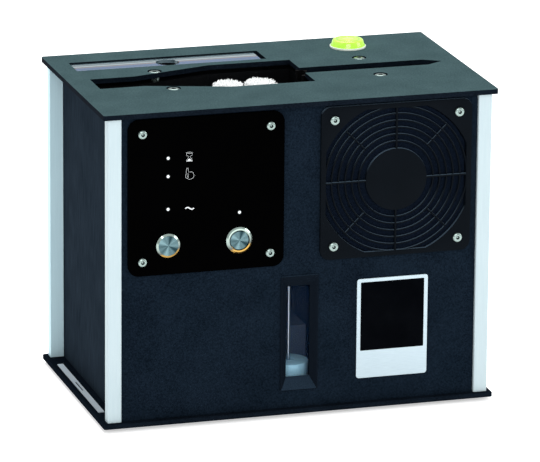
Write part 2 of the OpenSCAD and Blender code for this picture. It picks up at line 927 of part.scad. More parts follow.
module badge_plate() {
  color("#c9cfcf")
    upright(-face_y, badge_t) translate([badge_x, badge_mid]) round_rect(badge_w, badge_h, badge_r);
}

// Open box with a window opening in front and a threaded neck for the drain behind
module tank() {
  color("#e8eef0")
    difference() {
      union() {
        translate([-tank_x, -tank_y, floor_z]) cube([2 * tank_x, 2 * tank_y, tank_top - floor_z]);
        bar_y(drain_x, drain_z, tank_y - tank_t, drain_end, drain_r);
      }
      translate([-tank_x + tank_t, -tank_y + tank_t, tank_floor])
        cube([2 * (tank_x - tank_t), 2 * (tank_y - tank_t), tank_top]);
      upright(-tank_y + tank_t + cut, tank_t + 2 * cut)
        translate([0, window_mid]) square([tank_window_w, tank_window_h], center = true);
      bar_y(drain_x, drain_z, tank_y - tank_t - cut, drain_end + cut, drain_bore);
    }
}

// Lid of the tank with the blind bearings of the gears and the motor's raised plate
module tank_lid() {
  post_r = 3;
  rear_post_x = bracket_w / 2 - post_r;
  front_post_x = motor_r + 1;
  bracket_y0 = pinion_y - motor_r - 2.4;
  bracket_y1 = pinion_y + motor_r - 2;
  color("#33373b")
    difference() {
      union() {
        translate([-tank_x, -tank_y, tank_top]) cube([2 * tank_x, 2 * tank_y, lid_t]);
        for (x = [roller_left, roller_right], y = [-1, 1])
          translate([x, y * roller_row, lid_z]) cylinder(r = boss_r, h = boss_h);
        translate([-roller_mid, transfer_y, lid_z]) cylinder(r = boss_r, h = boss_h);
        translate([-roller_mid, transfer_y, lid_z])
          cylinder(r = axle_pin_r, h = gear_high + gear_w - lid_z + 1);
        for (x = [-1, 1]) {
          translate([-roller_mid + x * front_post_x, bracket_y0 + post_r + 0.4, lid_z])
            cylinder(r = post_r, h = motor_plate_z - lid_z);
          translate([-roller_mid + x * rear_post_x, pinion_y + 1, lid_z])
            cylinder(r = post_r, h = motor_plate_z - lid_z);
        }
        translate([-roller_mid - bracket_w / 2, bracket_y0, motor_plate_z])
          cube([bracket_w, bracket_y1 - bracket_y0, motor_plate_t]);
      }
      for (x = [roller_left, roller_right], y = [-1, 1])
        translate([x, y * roller_row, lid_z - 1]) cylinder(r = axle_pin_r + run_gap, h = 10);
      translate([-roller_mid, pinion_y, motor_plate_z - cut])
        cylinder(r = motor_shaft_r + 1.5, h = motor_plate_t + 2 * cut);
      translate([hose_x, hose_y, tank_top - cut]) cylinder(r = hose_r + 0.2, h = lid_t + 2 * cut);
      translate([drain_pipe_x, drain_pipe_y, tank_top - cut])
        cylinder(r = drain_pipe_r + 0.2, h = lid_t + 2 * cut);
    }
}

module float_rod() {
  color("#d8dcdc") {
    translate([0, -float_y, tank_floor]) cylinder(r = rod_r, h = tank_top - tank_floor);
    translate([0, -float_y, tank_floor]) cylinder(r = collar_r, h = float_rest - face_gap);
  }
}

module float() {
  edge = 1;
  color("#f4f6f6")
    translate([0, -float_y, float_z])
      difference() {
        union() {
          cylinder(r1 = float_r - edge, r2 = float_r, h = edge);
          translate([0, 0, edge]) cylinder(r = float_r, h = float_h - 2 * edge);
          translate([0, 0, float_h - edge]) cylinder(r1 = float_r, r2 = float_r - edge, h = edge);
        }
        translate([0, 0, -cut]) cylinder(r = float_bore, h = float_h + 2 * cut);
      }
}

// Immersed pump with an inlet grille at its foot and its outlet on top
module pump() {
  color("#8d989e")
    difference() {
      union() {
        translate([-pump_w / 2, -pump_y, tank_floor]) cube([pump_w, pump_d, pump_h]);
        translate([hose_x, -pump_y + pump_d / 2, tank_floor + pump_h]) cylinder(r = 6, h = 4);
      }
      for (i = [0:3])
        translate([-15 + i * 9, -pump_y - cut, tank_floor + 4]) cube([3, 5 + cut, 12]);
      translate([hose_x, -pump_y + pump_d / 2, tank_floor + pump_h - 4])
        cylinder(r = hose_bore, h = 10);
    }
}

// Quarter bend of a hose in the YZ plane, from a vertical start at the origin towards +Y
module hose_elbow() {
  translate([0, hose_bend, 0]) rotate([90, 0, -90])
    rotate_extrude(angle = 90)
      translate([hose_bend, 0]) difference() {
        circle(hose_r);
        circle(hose_bore);
      }
}

module hose_pipe(l) {
  difference() {
    cylinder(r = hose_r, h = l);
    translate([0, 0, -cut]) cylinder(r = hose_bore, h = l + 2 * cut);
  }
}

// Hose from the pump back, then up behind the wash chamber to the filter's tray
module feed_hose() {
  start_y = -pump_y + pump_d / 2;
  start_z = tank_floor + pump_h + 4;
  turn_z = start_z + hose_rise;
  level_z = turn_z + hose_bend;
  end_z = roof_z - tray_h;
  color("#b9c4c8") {
    translate([hose_x, start_y, start_z]) hose_pipe(hose_rise);
    translate([hose_x, start_y, turn_z]) hose_elbow();
    translate([hose_x, start_y + hose_bend, level_z]) rotate([-90, 0, 0])
      hose_pipe(hose_y - start_y - 2 * hose_bend);
    translate([hose_x, hose_y, level_z + hose_bend]) mirror([0, 0, 1]) mirror([0, 1, 0])
      hose_elbow();
    translate([hose_x, hose_y, level_z + hose_bend]) hose_pipe(end_z - level_z - hose_bend);
  }
}

module chamber_outline(grow) {
  side = slot_side(grow, wash_end, wash_end);
  polygon(concat(side, mirrored(side)));
}

// Room of the trough's left end wall, which is a plate glued on; grow widens the room that is cut for it
module chamber_left_end(grow, gap) {
  translate([-chamber_end - grow, -slot_end_d - chamber_t - grow, chamber_z - grow])
    cube([chamber_t + grow - gap, 2 * (slot_end_d + chamber_t + grow),
      flange_z - flange_t - chamber_z + grow - gap]);
}

// Deep trough under the slot, hung by its flange from the top plate's screws
module wash_chamber() {
  color("#1c2024")
    chamber_left_end(0, glue_gap);
  color("#1c2024")
    difference() {
      union() {
        translate([0, 0, chamber_z]) linear_extrude(chamber_h) chamber_outline(chamber_t);
        translate([-chamber_end, -flange_d, flange_z - flange_t])
          cube([2 * chamber_end, 2 * flange_d, flange_t]);
      }
      translate([0, 0, wash_z]) linear_extrude(chamber_h) chamber_outline(0);
      chamber_left_end(cut, 0);
      for (x = [-1, 1], y = [-1, 1])
        translate([x * top_screw_x, y * top_screw_y, flange_z - flange_t - cut])
          cylinder(r = top_screw_r + screw_gap, h = flange_t + 2 * cut);
      for (x = [roller_left, roller_right], y = [-1, 1])
        translate([x, y * roller_row, chamber_z - cut])
          cylinder(r = bush_r + 0.1, h = chamber_floor + 2 * cut);
      for (x = [-wheel_x, wheel_x])
        bar_y(x, wheel_z, -hatch_d, hatch_d, axle_r + 0.1);
      for (i = [0:vent_count - 1], y = [0, 1])
        mirror([0, y, 0])
          translate([vent_x + i * vent_pitch, -slit_d - chamber_t - cut,
            flange_z - flange_t - vent_drop - vent_h])
            cube([vent_w, chamber_t + 2 * cut, vent_h]);
      translate([drain_pipe_x, drain_pipe_y, chamber_z - cut])
        cylinder(r = drain_pipe_bore, h = chamber_floor + 2 * cut);
      bar_y(spout_x, tray_floor_z() + spout_r + 1, hatch_d - cut, hatch_d + chamber_t + cut,
        spout_r + 0.2);
    }
}

function tray_floor_z() = roof_z - tray_h + tray_t;

// Valve under the wash chamber, with a pipe that leads into the tank
module drain_valve() {
  pipe_z = tank_top - drain_pipe_below;
  color("#a9b2b5")
    translate([drain_pipe_x, drain_pipe_y, 0])
      difference() {
        union() {
          translate([0, 0, pipe_z]) cylinder(r = drain_pipe_r, h = chamber_z - pipe_z);
          translate([0, 0, lid_z + valve_inset])
            cylinder(r = valve_r, h = gear_space - 2 * valve_inset);
        }
        translate([0, 0, pipe_z - cut])
          cylinder(r = drain_pipe_bore, h = chamber_z - pipe_z + 2 * cut);
      }
}

// Narrow trough under the filter's lid, with a spout into the wash chamber
module filter_tray() {
  mouth_d = filter_hole_d - 2 * filter_ledge;
  mouth_x0 = tray_x0 + tray_t;
  mouth_x1 = filter_x1 - filter_ledge;
  color("#23272b")
    difference() {
      union() {
        translate([tray_x0, filter_y - tray_flange_d / 2, roof_z - tray_flange_t])
          cube([tray_x1 - tray_x0, tray_flange_d, tray_flange_t]);
        translate([tray_x0, filter_y - mouth_d / 2 - tray_t, roof_z - tray_h])
          cube([mouth_x1 + tray_t - tray_x0, mouth_d + 2 * tray_t, tray_h]);
        bar_y(spout_x, tray_floor_z() + spout_r + 1, hatch_d, filter_y - mouth_d / 2 - 0.5, spout_r);
      }
      translate([mouth_x0, filter_y - mouth_d / 2, tray_floor_z()])
        cube([mouth_x1 - mouth_x0, mouth_d, tray_h]);
      bar_y(spout_x, tray_floor_z() + spout_r + 1, hatch_d - cut, filter_y - mouth_d / 2 + cut,
        spout_bore);
      translate([hose_x, hose_y, roof_z - tray_h - cut])
        cylinder(r = hose_bore, h = tray_t + 2 * cut);
    }
}

module filter_sponge() {
  mouth_d = filter_hole_d - 2 * filter_ledge;
  mouth_x0 = tray_x0 + tray_t;
  mouth_x1 = filter_x1 - filter_ledge;
  color("#2a3a4c")
    translate([mouth_x0 + sponge_gap, filter_y - mouth_d / 2 + sponge_gap, tray_floor_z()])
      cube([mouth_x1 - mouth_x0 - 2 * sponge_gap, mouth_d - 2 * sponge_gap,
        roof_z - sponge_drop - tray_floor_z()]);
}

module filter_lid() {
  color("#a9bccb", 0.5)
    difference() {
      translate([lid_x0, filter_y - filter_lid_d / 2, roof_z])
        cube([filter_lid_l, filter_lid_d, filter_lid_t]);
      translate([finger_x, filter_y, roof_z - cut])
        cylinder(r = finger_r, h = filter_lid_t + 2 * cut);
    }
}

// Rubber lips that stand in the mouth of the narrow slot and strip the liquid off, each with
// a bead that clips round the corner of the wash chamber's wall
module wiper_blades() {
  lip_gap = 2.6;
  root_w = 4.5;
  tip_w = 1.2;
  web_t = 1.2;
  bead_r = 1.5;
  blade_h = 76;
  x0 = hatch_right + chamber_t;
  color("#0d0f12")
    for (y = [0, 1])
      mirror([0, y, 0])
        translate([0, 0, top_z - 2 - blade_h]) linear_extrude(blade_h) {
          polygon([[x0, slit_d], [x0 + root_w, slit_d], [x0 + (root_w + tip_w) / 2, lip_gap],
            [x0 + (root_w - tip_w) / 2, lip_gap]]);
          translate([hatch_right - bead_r, slit_d - web_t])
            square([chamber_t + root_w + bead_r, web_t]);
          translate([hatch_right - bead_r, slit_d]) circle(bead_r);
        }
}

// Grooved wheel that carries the record's rim, its hub reaching almost to the walls
module support_wheel(x, hub_half) {
  translate([x, 0, wheel_z]) rotate([90, 0, 0])
    rotate_extrude()
      polygon([[axle_r + run_gap, -hub_half], [wheel_hub_r, -hub_half],
        [wheel_hub_r, -wheel_w / 2], [wheel_r, -wheel_w / 2], [wheel_r, -wheel_groove],
        [wheel_r - wheel_groove, 0], [wheel_r, wheel_groove], [wheel_r, wheel_w / 2],
        [wheel_hub_r, wheel_w / 2], [wheel_hub_r, hub_half], [axle_r + run_gap, hub_half]]);
}

module support_wheel_left() {
  color("#e4e4df") support_wheel(-wheel_x, slot_end_d - face_gap);
}

module support_wheel_right() {
  color("#e4e4df") support_wheel(wheel_x, slit_d - face_gap);
}

module support_axles() {
  color("#b8bec0") {
    bar_y(-wheel_x, wheel_z, -slot_end_d - chamber_t, slot_end_d + chamber_t, axle_r);
    bar_y(wheel_x, wheel_z, -slit_d - chamber_t, slit_d + chamber_t, axle_r);
  }
}

// Flanged bushes that carry the spindles where they pass the wash chamber's floor
module spindle_bushes() {
  color("#c9a25a")
    for (x = [roller_left, roller_right], y = [-1, 1])
      translate([x, y * roller_row, 0])
        difference() {
          union() {
            translate([0, 0, chamber_z - bush_flange]) cylinder(r = bush_flange_r, h = bush_flange);
            translate([0, 0, chamber_z]) cylinder(r = bush_r, h = bush_top - chamber_z);
          }
          translate([0, 0, chamber_z - bush_flange - cut])
            cylinder(r = spindle_r + run_gap, h = bush_top - chamber_z + bush_flange + 2 * cut);
        }
}

// Spindle with its moulded gear below, the drive disc in the chamber and a six sided peg
module spindle(x, y, gear_z, turn) {
  foot_z = lid_z - 1 + face_gap;
  translate([x, y, 0]) {
    translate([0, 0, foot_z]) cylinder(r = axle_pin_r, h = gear_low - foot_z);
    translate([0, 0, gear_low]) cylinder(r = spindle_r, h = disc_z - gear_low);
    translate([0, 0, gear_z]) linear_extrude(gear_w)
      polygon(gear_points(gear_teeth, gear_module, turn));
    translate([0, 0, disc_z]) cylinder(r = disc_r, h = disc_t);
    translate([0, 0, disc_z + disc_t])
      cylinder(r = hex_r, h = sleeve_top - 10 - disc_z - disc_t, $fn = 6);
  }
}

module spindle_front_left() {
  color("#e9e4d2") spindle(roller_left, -roller_row, gear_high, left_turn);
}

module spindle_front_right() {
  color("#e9e4d2") spindle(roller_right, -roller_row, gear_low, right_turn);
}

module spindle_rear_left() {
  color("#e9e4d2") spindle(roller_left, roller_row, gear_high, rear_left_turn);
}

module spindle_rear_right() {
  color("#e9e4d2") spindle(roller_right, roller_row, gear_low, rear_right_turn);
}

// Pile covered sleeve that drops over the spindle's peg and lifts out by hand
module sleeve(x, y) {
  cap_t = 6;
  bore_top = sleeve_top - cap_t;
  translate([x, y, 0])
    difference() {
      rotate_extrude()
        union() {
          translate([0, sleeve_z]) square([core_r, sleeve_top - sleeve_z]);
          translate([0, sleeve_z + 2]) square([pile_r, sleeve_top - pile_round - sleeve_z - 2]);
          translate([0, sleeve_z + 2]) square([pile_r - pile_round, sleeve_top - sleeve_z - 2]);
          translate([pile_r - pile_round, sleeve_top - pile_round]) circle(pile_round);
        }
      translate([0, 0, sleeve_z - cut])
        cylinder(r = hex_r + hex_gap, h = bore_top - sleeve_z + cut, $fn = 6);
    }
}

module sleeve_front_left() { color("#f7f7f4") sleeve(roller_left, -roller_row); }

module sleeve_front_right() { color("#f7f7f4") sleeve(roller_right, -roller_row); }

module sleeve_rear_left() { color("#f7f7f4") sleeve(roller_left, roller_row); }

module sleeve_rear_right() { color("#f7f7f4") sleeve(roller_right, roller_row); }

// Wide gear between the motor's pinion and the two front rollers
module transfer_gear() {
  color("#efe9d6")
    translate([-roller_mid, transfer_y, gear_low])
      difference() {
        linear_extrude(gear_span)
          polygon(gear_points(gear_teeth, gear_module, transfer_turn));
        translate([0, 0, -cut]) cylinder(r = axle_pin_r + run_gap, h = gear_span + 2 * cut);
      }
}

module motor_pinion() {
  shaft_in = 10;
  color("#b99a4c")
    translate([-roller_mid, pinion_y, gear_low]) {
      linear_extrude(gear_span) polygon(gear_points(pinion_teeth, gear_module, pinion_turn));
      cylinder(r = motor_shaft_r, h = motor_z + shaft_in - gear_low);
    }
}

module drive_motor() {
  color("#8a8f92")
    translate([-roller_mid, pinion_y, motor_z])
      difference() {
        union() {
          cylinder(r = motor_r, h = motor_l);
          translate([0, 0, motor_l]) cylinder(r = 6, h = 3);
        }
        translate([0, 0, -cut]) cylinder(r = motor_shaft_r + run_gap, h = 11 + cut);
      }
}

// Ultrasonic transducers on the outside of the wash chamber's narrow left end
module transducers() {
  wall_y = slot_end_d + chamber_t;
  color("#b7b1a0")
    for (y = [0, 1])
      mirror([0, y, 0])
        facing_front(transducer_x, wall_y, transducer_z) {
          cylinder(r = transducer_r, h = transducer_t);
          translate([0, 0, transducer_t]) cylinder(r = horn_r, h = horn_l);
        }
}

// Moulded module in the rear panel, with a round power socket and the bay of the rocker
module power_inlet() {
  bay_x = inlet_x + inlet_part;
  bay_room = 1.6;
  socket_x = inlet_x - inlet_part;
  lip_y = face_y + inlet_lip;
  color("#101214") {
    difference() {
      union() {
        mirror([0, 1, 0]) upright(-face_y, inlet_lip)
          translate([inlet_x, inlet_z]) round_rect(inlet_w, inlet_h, inlet_r);
        mirror([0, 1, 0]) upright(-face_y + inlet_depth, inlet_depth)
          translate([inlet_x, inlet_z]) square([inlet_body_w, inlet_body_h], center = true);
      }
      translate([bay_x - bay_w / 2 - rocker_gap, lip_y - bay_depth,
        inlet_z - bay_h / 2 - bay_room])
        cube([bay_w + 2 * rocker_gap, bay_depth + cut, bay_h + 2 * bay_room]);
      translate([bay_x - bay_w / 2 - rocker_pin_in - face_gap, face_y - rocker_sink, inlet_z])
        rotate([0, 90, 0])
          cylinder(r = rocker_pin_r + run_gap, h = bay_w + 2 * (rocker_pin_in + face_gap));
      bar_y(socket_x, inlet_z, lip_y - socket_depth, lip_y + cut, socket_r);
    }
    bar_y(socket_x, inlet_z, lip_y - socket_depth - 1, lip_y - 1, socket_pin_r);
  }
}

// Rocker of the power switch, stored with its upper end in
module power_rocker() {
  color("#1c1f22")
    translate([inlet_x + inlet_part, face_y - rocker_sink, inlet_z]) {
      rotate([rocker_tilt, 0, 0])
        translate([-bay_w / 2, -rocker_back, -bay_h / 2]) cube([bay_w, rocker_t, bay_h]);
      translate([-bay_w / 2 - rocker_pin_in, 0, 0]) rotate([0, 90, 0])
        cylinder(r = rocker_pin_r, h = bay_w + 2 * rocker_pin_in);
    }
}

// Plug of the tank's drain, with a fluted rim for the fingers
module drain_plug() {
  flutes = 20;
  shank_l = drain_end - tank_y + tank_t - 1;
  color("#26292c")
    translate([drain_x, drain_end + 0.2, drain_z]) rotate([-90, 0, 0]) {
      difference() {
        cylinder(r = plug_head_r, h = plug_head_t);
        for (i = [0:flutes - 1])
          rotate(i * 360 / flutes) translate([plug_head_r + plug_flute_r * 0.4, 0, -cut])
            cylinder(r = plug_flute_r, h = plug_head_t + 2 * cut, $fn = 16);
      }
      translate([0, 0, -shank_l]) cylinder(r = drain_bore - run_gap, h = shank_l);
    }
}

module level_base() {
  color("#e9ece4")
    translate([level_x, level_y, top_z])
      difference() {
        cylinder(r = level_r, h = level_base_h);
        translate([0, 0, level_base_h - level_seat]) cylinder(r = level_foot_r + 0.1, h = level_base_h);
      }
}

// Round vial, tapered, with a slightly domed top
module level_vial() {
  vial_h = level_h - level_base_h + level_seat;
  cap_r = (pow(level_vial_r, 2) + pow(level_dome, 2)) / (2 * level_dome);
  color("#c6dc1c")
    translate([level_x, level_y, top_z + level_base_h - level_seat])
      intersection() {
        cylinder(r1 = level_foot_r, r2 = level_vial_r, h = vial_h);
        translate([0, 0, vial_h - cap_r]) sphere(cap_r, $fn = 200);
      }
}

base_plate();
rubber_feet();
top_plate();
corner_posts();
front_panel();
rear_panel();
side_panels();
base_strip();
control_plate();
panel_screws();
indicator_lenses();
start_button();
start_switch();
select_bezel();
select_button();
control_board();
grille_front();
grille_rear();
grille_screws();
fan_foams();
fan_frames();
fan_rotor_front();
fan_rotor_rear();
window_bezel();
sight_glass();
badge_plate();
tank();
tank_lid();
float_rod();
float();
pump();
feed_hose();
wash_chamber();
drain_valve();
filter_tray();
filter_sponge();
filter_lid();
wiper_blades();
support_wheel_left();
support_wheel_right();
support_axles();
spindle_bushes();
spindle_front_left();
spindle_front_right();
spindle_rear_left();
spindle_rear_right();
sleeve_front_left();
sleeve_front_right();
sleeve_rear_left();
sleeve_rear_right();
transfer_gear();
motor_pinion();
drive_motor();
transducers();
power_inlet();
power_rocker();
drain_plug();
level_base();
level_vial();
top_screws();
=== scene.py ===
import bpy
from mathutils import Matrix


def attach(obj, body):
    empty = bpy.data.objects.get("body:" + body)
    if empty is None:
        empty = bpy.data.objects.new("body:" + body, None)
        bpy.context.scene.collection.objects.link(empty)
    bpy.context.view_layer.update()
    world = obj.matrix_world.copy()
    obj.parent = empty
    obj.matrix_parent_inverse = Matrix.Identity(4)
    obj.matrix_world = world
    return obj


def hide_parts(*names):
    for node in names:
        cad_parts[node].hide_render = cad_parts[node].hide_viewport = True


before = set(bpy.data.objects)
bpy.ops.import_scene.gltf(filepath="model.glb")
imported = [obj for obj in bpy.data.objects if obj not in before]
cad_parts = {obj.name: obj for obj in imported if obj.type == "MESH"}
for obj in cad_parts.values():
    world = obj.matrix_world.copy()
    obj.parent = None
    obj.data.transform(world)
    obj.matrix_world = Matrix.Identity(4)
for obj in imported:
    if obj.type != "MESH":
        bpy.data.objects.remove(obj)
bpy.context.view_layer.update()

import math

import bmesh
import bpy
from mathutils import Matrix, Vector, noise

# Sizes and places are in mm and are multiplied by mm where Blender takes them.
mm = 0.001

# ---- Camera and studio ----
# The camera was solved from the case's straight edges in the photograph.
# Four soft lights stand above, in front of, to the right of and, weaker, behind the case.
eye = Vector((-1.17622, -3.86108, 1.29623))
yaw, pitch, roll = (math.radians(angle) for angle in (16.964, 16.099, 0.4765))
ahead = Vector((math.sin(yaw) * math.cos(pitch), math.cos(yaw) * math.cos(pitch), -math.sin(pitch)))
level_right = Vector((math.cos(yaw), -math.sin(yaw), 0.0))
level_up = level_right.cross(ahead)
right = math.cos(roll) * level_right + math.sin(roll) * level_up
up = math.cos(roll) * level_up - math.sin(roll) * level_right
lens = bpy.data.cameras.new("camera")
lens.sensor_width = 36.0
lens.lens = 341.77
lens.shift_x = 0.00357
lens.shift_y = -0.00496
lens.clip_end = 100.0
camera = bpy.data.objects.new("camera", lens)
turn = Matrix((right, up, -ahead)).transposed().to_4x4()
camera.matrix_world = Matrix.Translation(eye) @ turn
bpy.context.scene.collection.objects.link(camera)
bpy.context.scene.camera = camera
bpy.context.scene.view_settings.view_transform = "Standard"


def softbox(name, place, aim, width, height, power):
    """A large soft light at place that looks at aim."""
    lamp = bpy.data.lights.new(name, "AREA")
    lamp.shape = "RECTANGLE"
    lamp.size, lamp.size_y = width, height
    lamp.energy = power
    holder = bpy.data.objects.new(name, lamp)
    holder.location = place
    holder.rotation_euler = (Vector(aim) - Vector(place)).to_track_quat("-Z", "Y").to_euler()
    bpy.context.scene.collection.objects.link(holder)


softbox("light_top", (0.0, 0.7, 1.8), (0.0, 0.0, 0.2), 1.6, 1.2, 26.0)
softbox("light_front", (-0.6, -2.6, 1.5), (0.0, 0.0, 0.12), 1.6, 1.2, 26.0)
softbox("light_right", (2.2, -0.8, 1.2), (0.0, 0.0, 0.13), 1.2, 1.2, 14.0)
softbox("light_back", (-1.6, 2.2, 1.4), (0.0, 0.0, 0.13), 1.4, 1.2, 3.0)
sky = bpy.data.worlds.new("studio")
sky.use_nodes = True
sky.node_tree.nodes["Background"].inputs["Color"].default_value = (0.97, 0.985, 1.0, 1.0)
sky.node_tree.nodes["Background"].inputs["Strength"].default_value = 0.62
bpy.context.scene.world = sky


# ---- Base plate and top plate ----
# Two plates of dark compact laminate with a fine sand texture, milled and with broken edges.
# Every other piece stands on or hangs from them.
class Wire:
    """An output of a node; sums, products and comparisons of it add Math nodes."""

    def __init__(self, tree, socket):
        self.tree = tree
        self.socket = socket

    def node(self, kind, settings=None, links=None, out=0):
        """A node of this kind: first its settings, then the values or links of its sockets."""
        made = self.tree.nodes.new(kind)
        for name, value in (settings or {}).items():
            if name == "stops":
                stops = made.color_ramp.elements
                while len(stops) < len(value):
                    stops.new(0.5)
                for stop, (place, colour) in zip(stops, value):
                    stop.position = place
                    stop.color = colour
            else:
                setattr(made, name, value)
        for name, value in (links or {}).items():
            if isinstance(value, Wire):
                self.tree.links.new(value.socket, made.inputs[name])
            else:
                made.inputs[name].default_value = value
        return Wire(self.tree, made.outputs[out])

    def maths(self, operation, *values):
        return self.node("ShaderNodeMath", {"operation": operation}, dict(enumerate(values)))

    def __add__(self, other):
        return self.maths("ADD", self, other)

    def __sub__(self, other):
        return self.maths("SUBTRACT", self, other)

    def __rsub__(self, other):
        return self.maths("SUBTRACT", other, self)

    def __mul__(self, other):
        return self.maths("MULTIPLY", self, other)

    def __truediv__(self, other):
        return self.maths("DIVIDE", self, other)

    def __rtruediv__(self, other):
        return self.maths("DIVIDE", other, self)

    def __pow__(self, other):
        return self.maths("POWER", self, other)

    def __gt__(self, other):
        return self.maths("GREATER_THAN", self, other)

    def __lt__(self, other):
        return self.maths("LESS_THAN", self, other)

    __radd__ = __add__
    __rmul__ = __mul__


def tone(red, green, blue):
    """A colour as it looks on a screen, 0 to 255, as the shader wants it."""
    parts = [channel / 255.0 for channel in (red, green, blue)]
    return tuple(p / 12.92 if p <= 0.04045 else ((p + 0.055) / 1.055) ** 2.4 for p in parts) + (1.0,)


def finish(name, **constants):
    """A material whose Principled shader has these constants, and a wire with its Object coordinates."""
    material = bpy.data.materials.new(name)
    material.use_nodes = True
    shader = material.node_tree.nodes["Principled BSDF"]
    for title, value in constants.items():
        shader.inputs[title.replace("_", " ")].default_value = value
    places = material.node_tree.nodes.new("ShaderNodeTexCoord")
    return material, Wire(material.node_tree, places.outputs["Object"])


def feed(material, **wires):
    """Links wires to the sockets of the material's Principled shader."""
    shader = material.node_tree.nodes["Principled BSDF"]
    for title, wire in wires.items():
        material.node_tree.links.new(wire.socket, shader.inputs[title.replace("_", " ")])


def specks(at, scale, detail=2.0, stretch=None):
    """Noise of about 1/scale metres; stretch squeezes it along an axis."""
    if stretch:
        at = at.node("ShaderNodeVectorMath", {"operation": "MULTIPLY"}, {0: at, 1: stretch})
    return at.node("ShaderNodeTexNoise", {}, {"Vector": at, "Scale": scale, "Detail": detail})


def shade(mask, first, second):
    """Colour that goes from first to second as mask goes from 0 to 1."""
    return mask.node("ShaderNodeMix", {"data_type": "RGBA"}, {0: mask, 6: first, 7: second}, out=2)


def ramp(wire, *stops):
    """Colour or grey read from a ramp of (place, tone) stops."""
    return wire.node("ShaderNodeValToRGB", {"stops": stops}, {"Fac": wire})


def bumps(height, strength, depth):
    """Normal of a surface with this height map; depth is in metres."""
    return height.node("ShaderNodeBump", {}, {"Height": height, "Strength": strength, "Distance": depth})


def apart(vector):
    """The three parts of a vector as wires."""
    return [vector.node("ShaderNodeSeparateXYZ", {}, {"Vector": vector}, out=axis) for axis in range(3)]


# The height of the top plate's upper face.
deck = 263.0


def laminate(name, low, high, top=None, grain=(1.0, 1.0, 1.0), gleam=0.0):
    """Sand-textured laminate between two tones; the deck's upper face takes the pair top, a painted sheen."""
    material, at = finish(name, Specular_IOR_Level=gleam)
    sand = specks(at, 760.0, 4.0, grain)
    mask = sand * 1.5 + specks(at, 38.0, 3.0) * 0.6 - 0.55
    colour = shade(mask, low, high)
    if top:
        colour = shade(apart(at)[2] > (deck - 0.15) * mm, colour, shade(mask, *top))
    feed(material, Base_Color=colour, Roughness=sand * 0.3 + 0.42, Normal=bumps(sand, 0.45, 0.0002))
    return material


def wear(node, material):
    """Gives a CAD node this material."""
    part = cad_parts[node]
    if not part.material_slots:
        part.data.materials.append(material)
    for place in part.material_slots:
        place.material = material


def show(name, mesh, material, stands_for=(), body="case", angle=35.0):
    """Puts a finished mesh into the scene as a piece of this body; angle None keeps its shading."""
    if angle:
        for face in mesh.polygons:
            face.use_smooth = True
        mesh.set_sharp_from_angle(angle=math.radians(angle))
    mesh.materials.clear()
    mesh.materials.append(material)
    part = bpy.data.objects.new(name, mesh)
    bpy.context.scene.collection.objects.link(part)
    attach(part, body)
    if stands_for:
        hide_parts(*stands_for)
    return part


def evaluated(holder):
    """Plain mesh of an object with its modifiers; the object is removed."""
    bpy.context.scene.collection.objects.link(holder)
    view = bpy.context.evaluated_depsgraph_get()
    mesh = bpy.data.meshes.new_from_object(holder.evaluated_get(view))
    bpy.data.objects.remove(holder)
    return mesh


def merged(node, flatten=None):
    """A copy of a CAD node's mesh without doubled points, and with faces joined below flatten degrees."""
    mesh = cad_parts[node].data.copy()
    work = bmesh.new()
    work.from_mesh(mesh)
    bmesh.ops.remove_doubles(work, verts=work.verts, dist=0.001 * mm)
    if flatten:
        bmesh.ops.dissolve_limit(
            work, angle_limit=math.radians(flatten), verts=work.verts, edges=work.edges
        )
    work.to_mesh(mesh)
    work.free()
    return mesh


def edged(name, node, width, material, body="case", rounds=2):
    """Shows a CAD node with its sharp edges broken by width, in its place."""
    mesh = merged(node, 0.6)
    sharp = math.radians(32.0)
    for face in mesh.polygons:
        face.use_smooth = True
    mesh.set_sharp_from_angle(angle=sharp)
    holder = bpy.data.objects.new("work", mesh)
    bevel = holder.modifiers.new("broken", "BEVEL")
    bevel.harden_normals = True
    bevel.width = width * mm
    bevel.segments = rounds
    bevel.limit_method = "ANGLE"
    bevel.angle_limit = sharp
    show(name, evaluated(holder), material, [node], body, angle=None)


night, night_speck = tone(6, 10, 15), tone(22, 30, 40)
# The deck's upper face is painted lighter and greener: a painted sheen of the overhead light on the top
# plate.
deck_sheen_tones = (tone(44, 62, 65), tone(74, 96, 99))
plate_laminate = laminate("plate_laminate", night, night_speck, deck_sheen_tones, gleam=0.002)
base_laminate = laminate("base_laminate", night, night_speck)
edged("top_board", "top_plate", 0.8, plate_laminate, rounds=3)
edged("base_board", "base_plate", 0.8, base_laminate, rounds=3)


# ---- Feet and the bright strip on the base ----
# Four round feet of black moulded rubber under the base plate.
# A brushed metal strip lies on the plate's left ledge.
def moulded(name, colour, roughness=0.5, grain=2200.0, depth=0.00005, spread=0.25, **constants):
    """Moulded plastic or rubber: a fine grain, and slight clouds in colour and gloss."""
    material, at = finish(name, **constants)
    fine = specks(at, grain)
    cloud = specks(at, 45.0)
    dark = tuple(part * (1.0 - spread) for part in colour[:3]) + (1.0,)
    light = tuple(min(1.0, part * (1.0 + spread)) for part in colour[:3]) + (1.0,)
    feed(
        material,
        Base_Color=shade(fine * 0.5 + cloud * 0.5, dark, light),
        Roughness=cloud * 0.2 + (roughness - 0.1),
        Normal=bumps(fine, 0.5, depth),
    )
    return material


def brushed(name, dark, light, roughness, along, metallic=1.0, rear=None):
    """Metal with fine lines along one axis; along is the squeeze of the noise on the three axes.

    Behind the case's middle it takes the pair of tones rear, a painted reflection.
    """
    material, at = finish(name, Metallic=metallic, Specular_IOR_Level=metallic * 0.5)
    lines = specks(at, 2600.0, 2.0, along)
    mask = lines * 0.7 + specks(at, 20.0) * 0.3
    colour = shade(mask, dark, light)
    if rear:
        colour = shade(apart(at)[1] > 0.0, colour, shade(mask, *rear))
    feed(
        material,
        Base_Color=colour,
        Roughness=lines * 0.22 + (roughness - 0.1),
        Normal=bumps(lines, 0.22, 0.00003),
    )
    return material


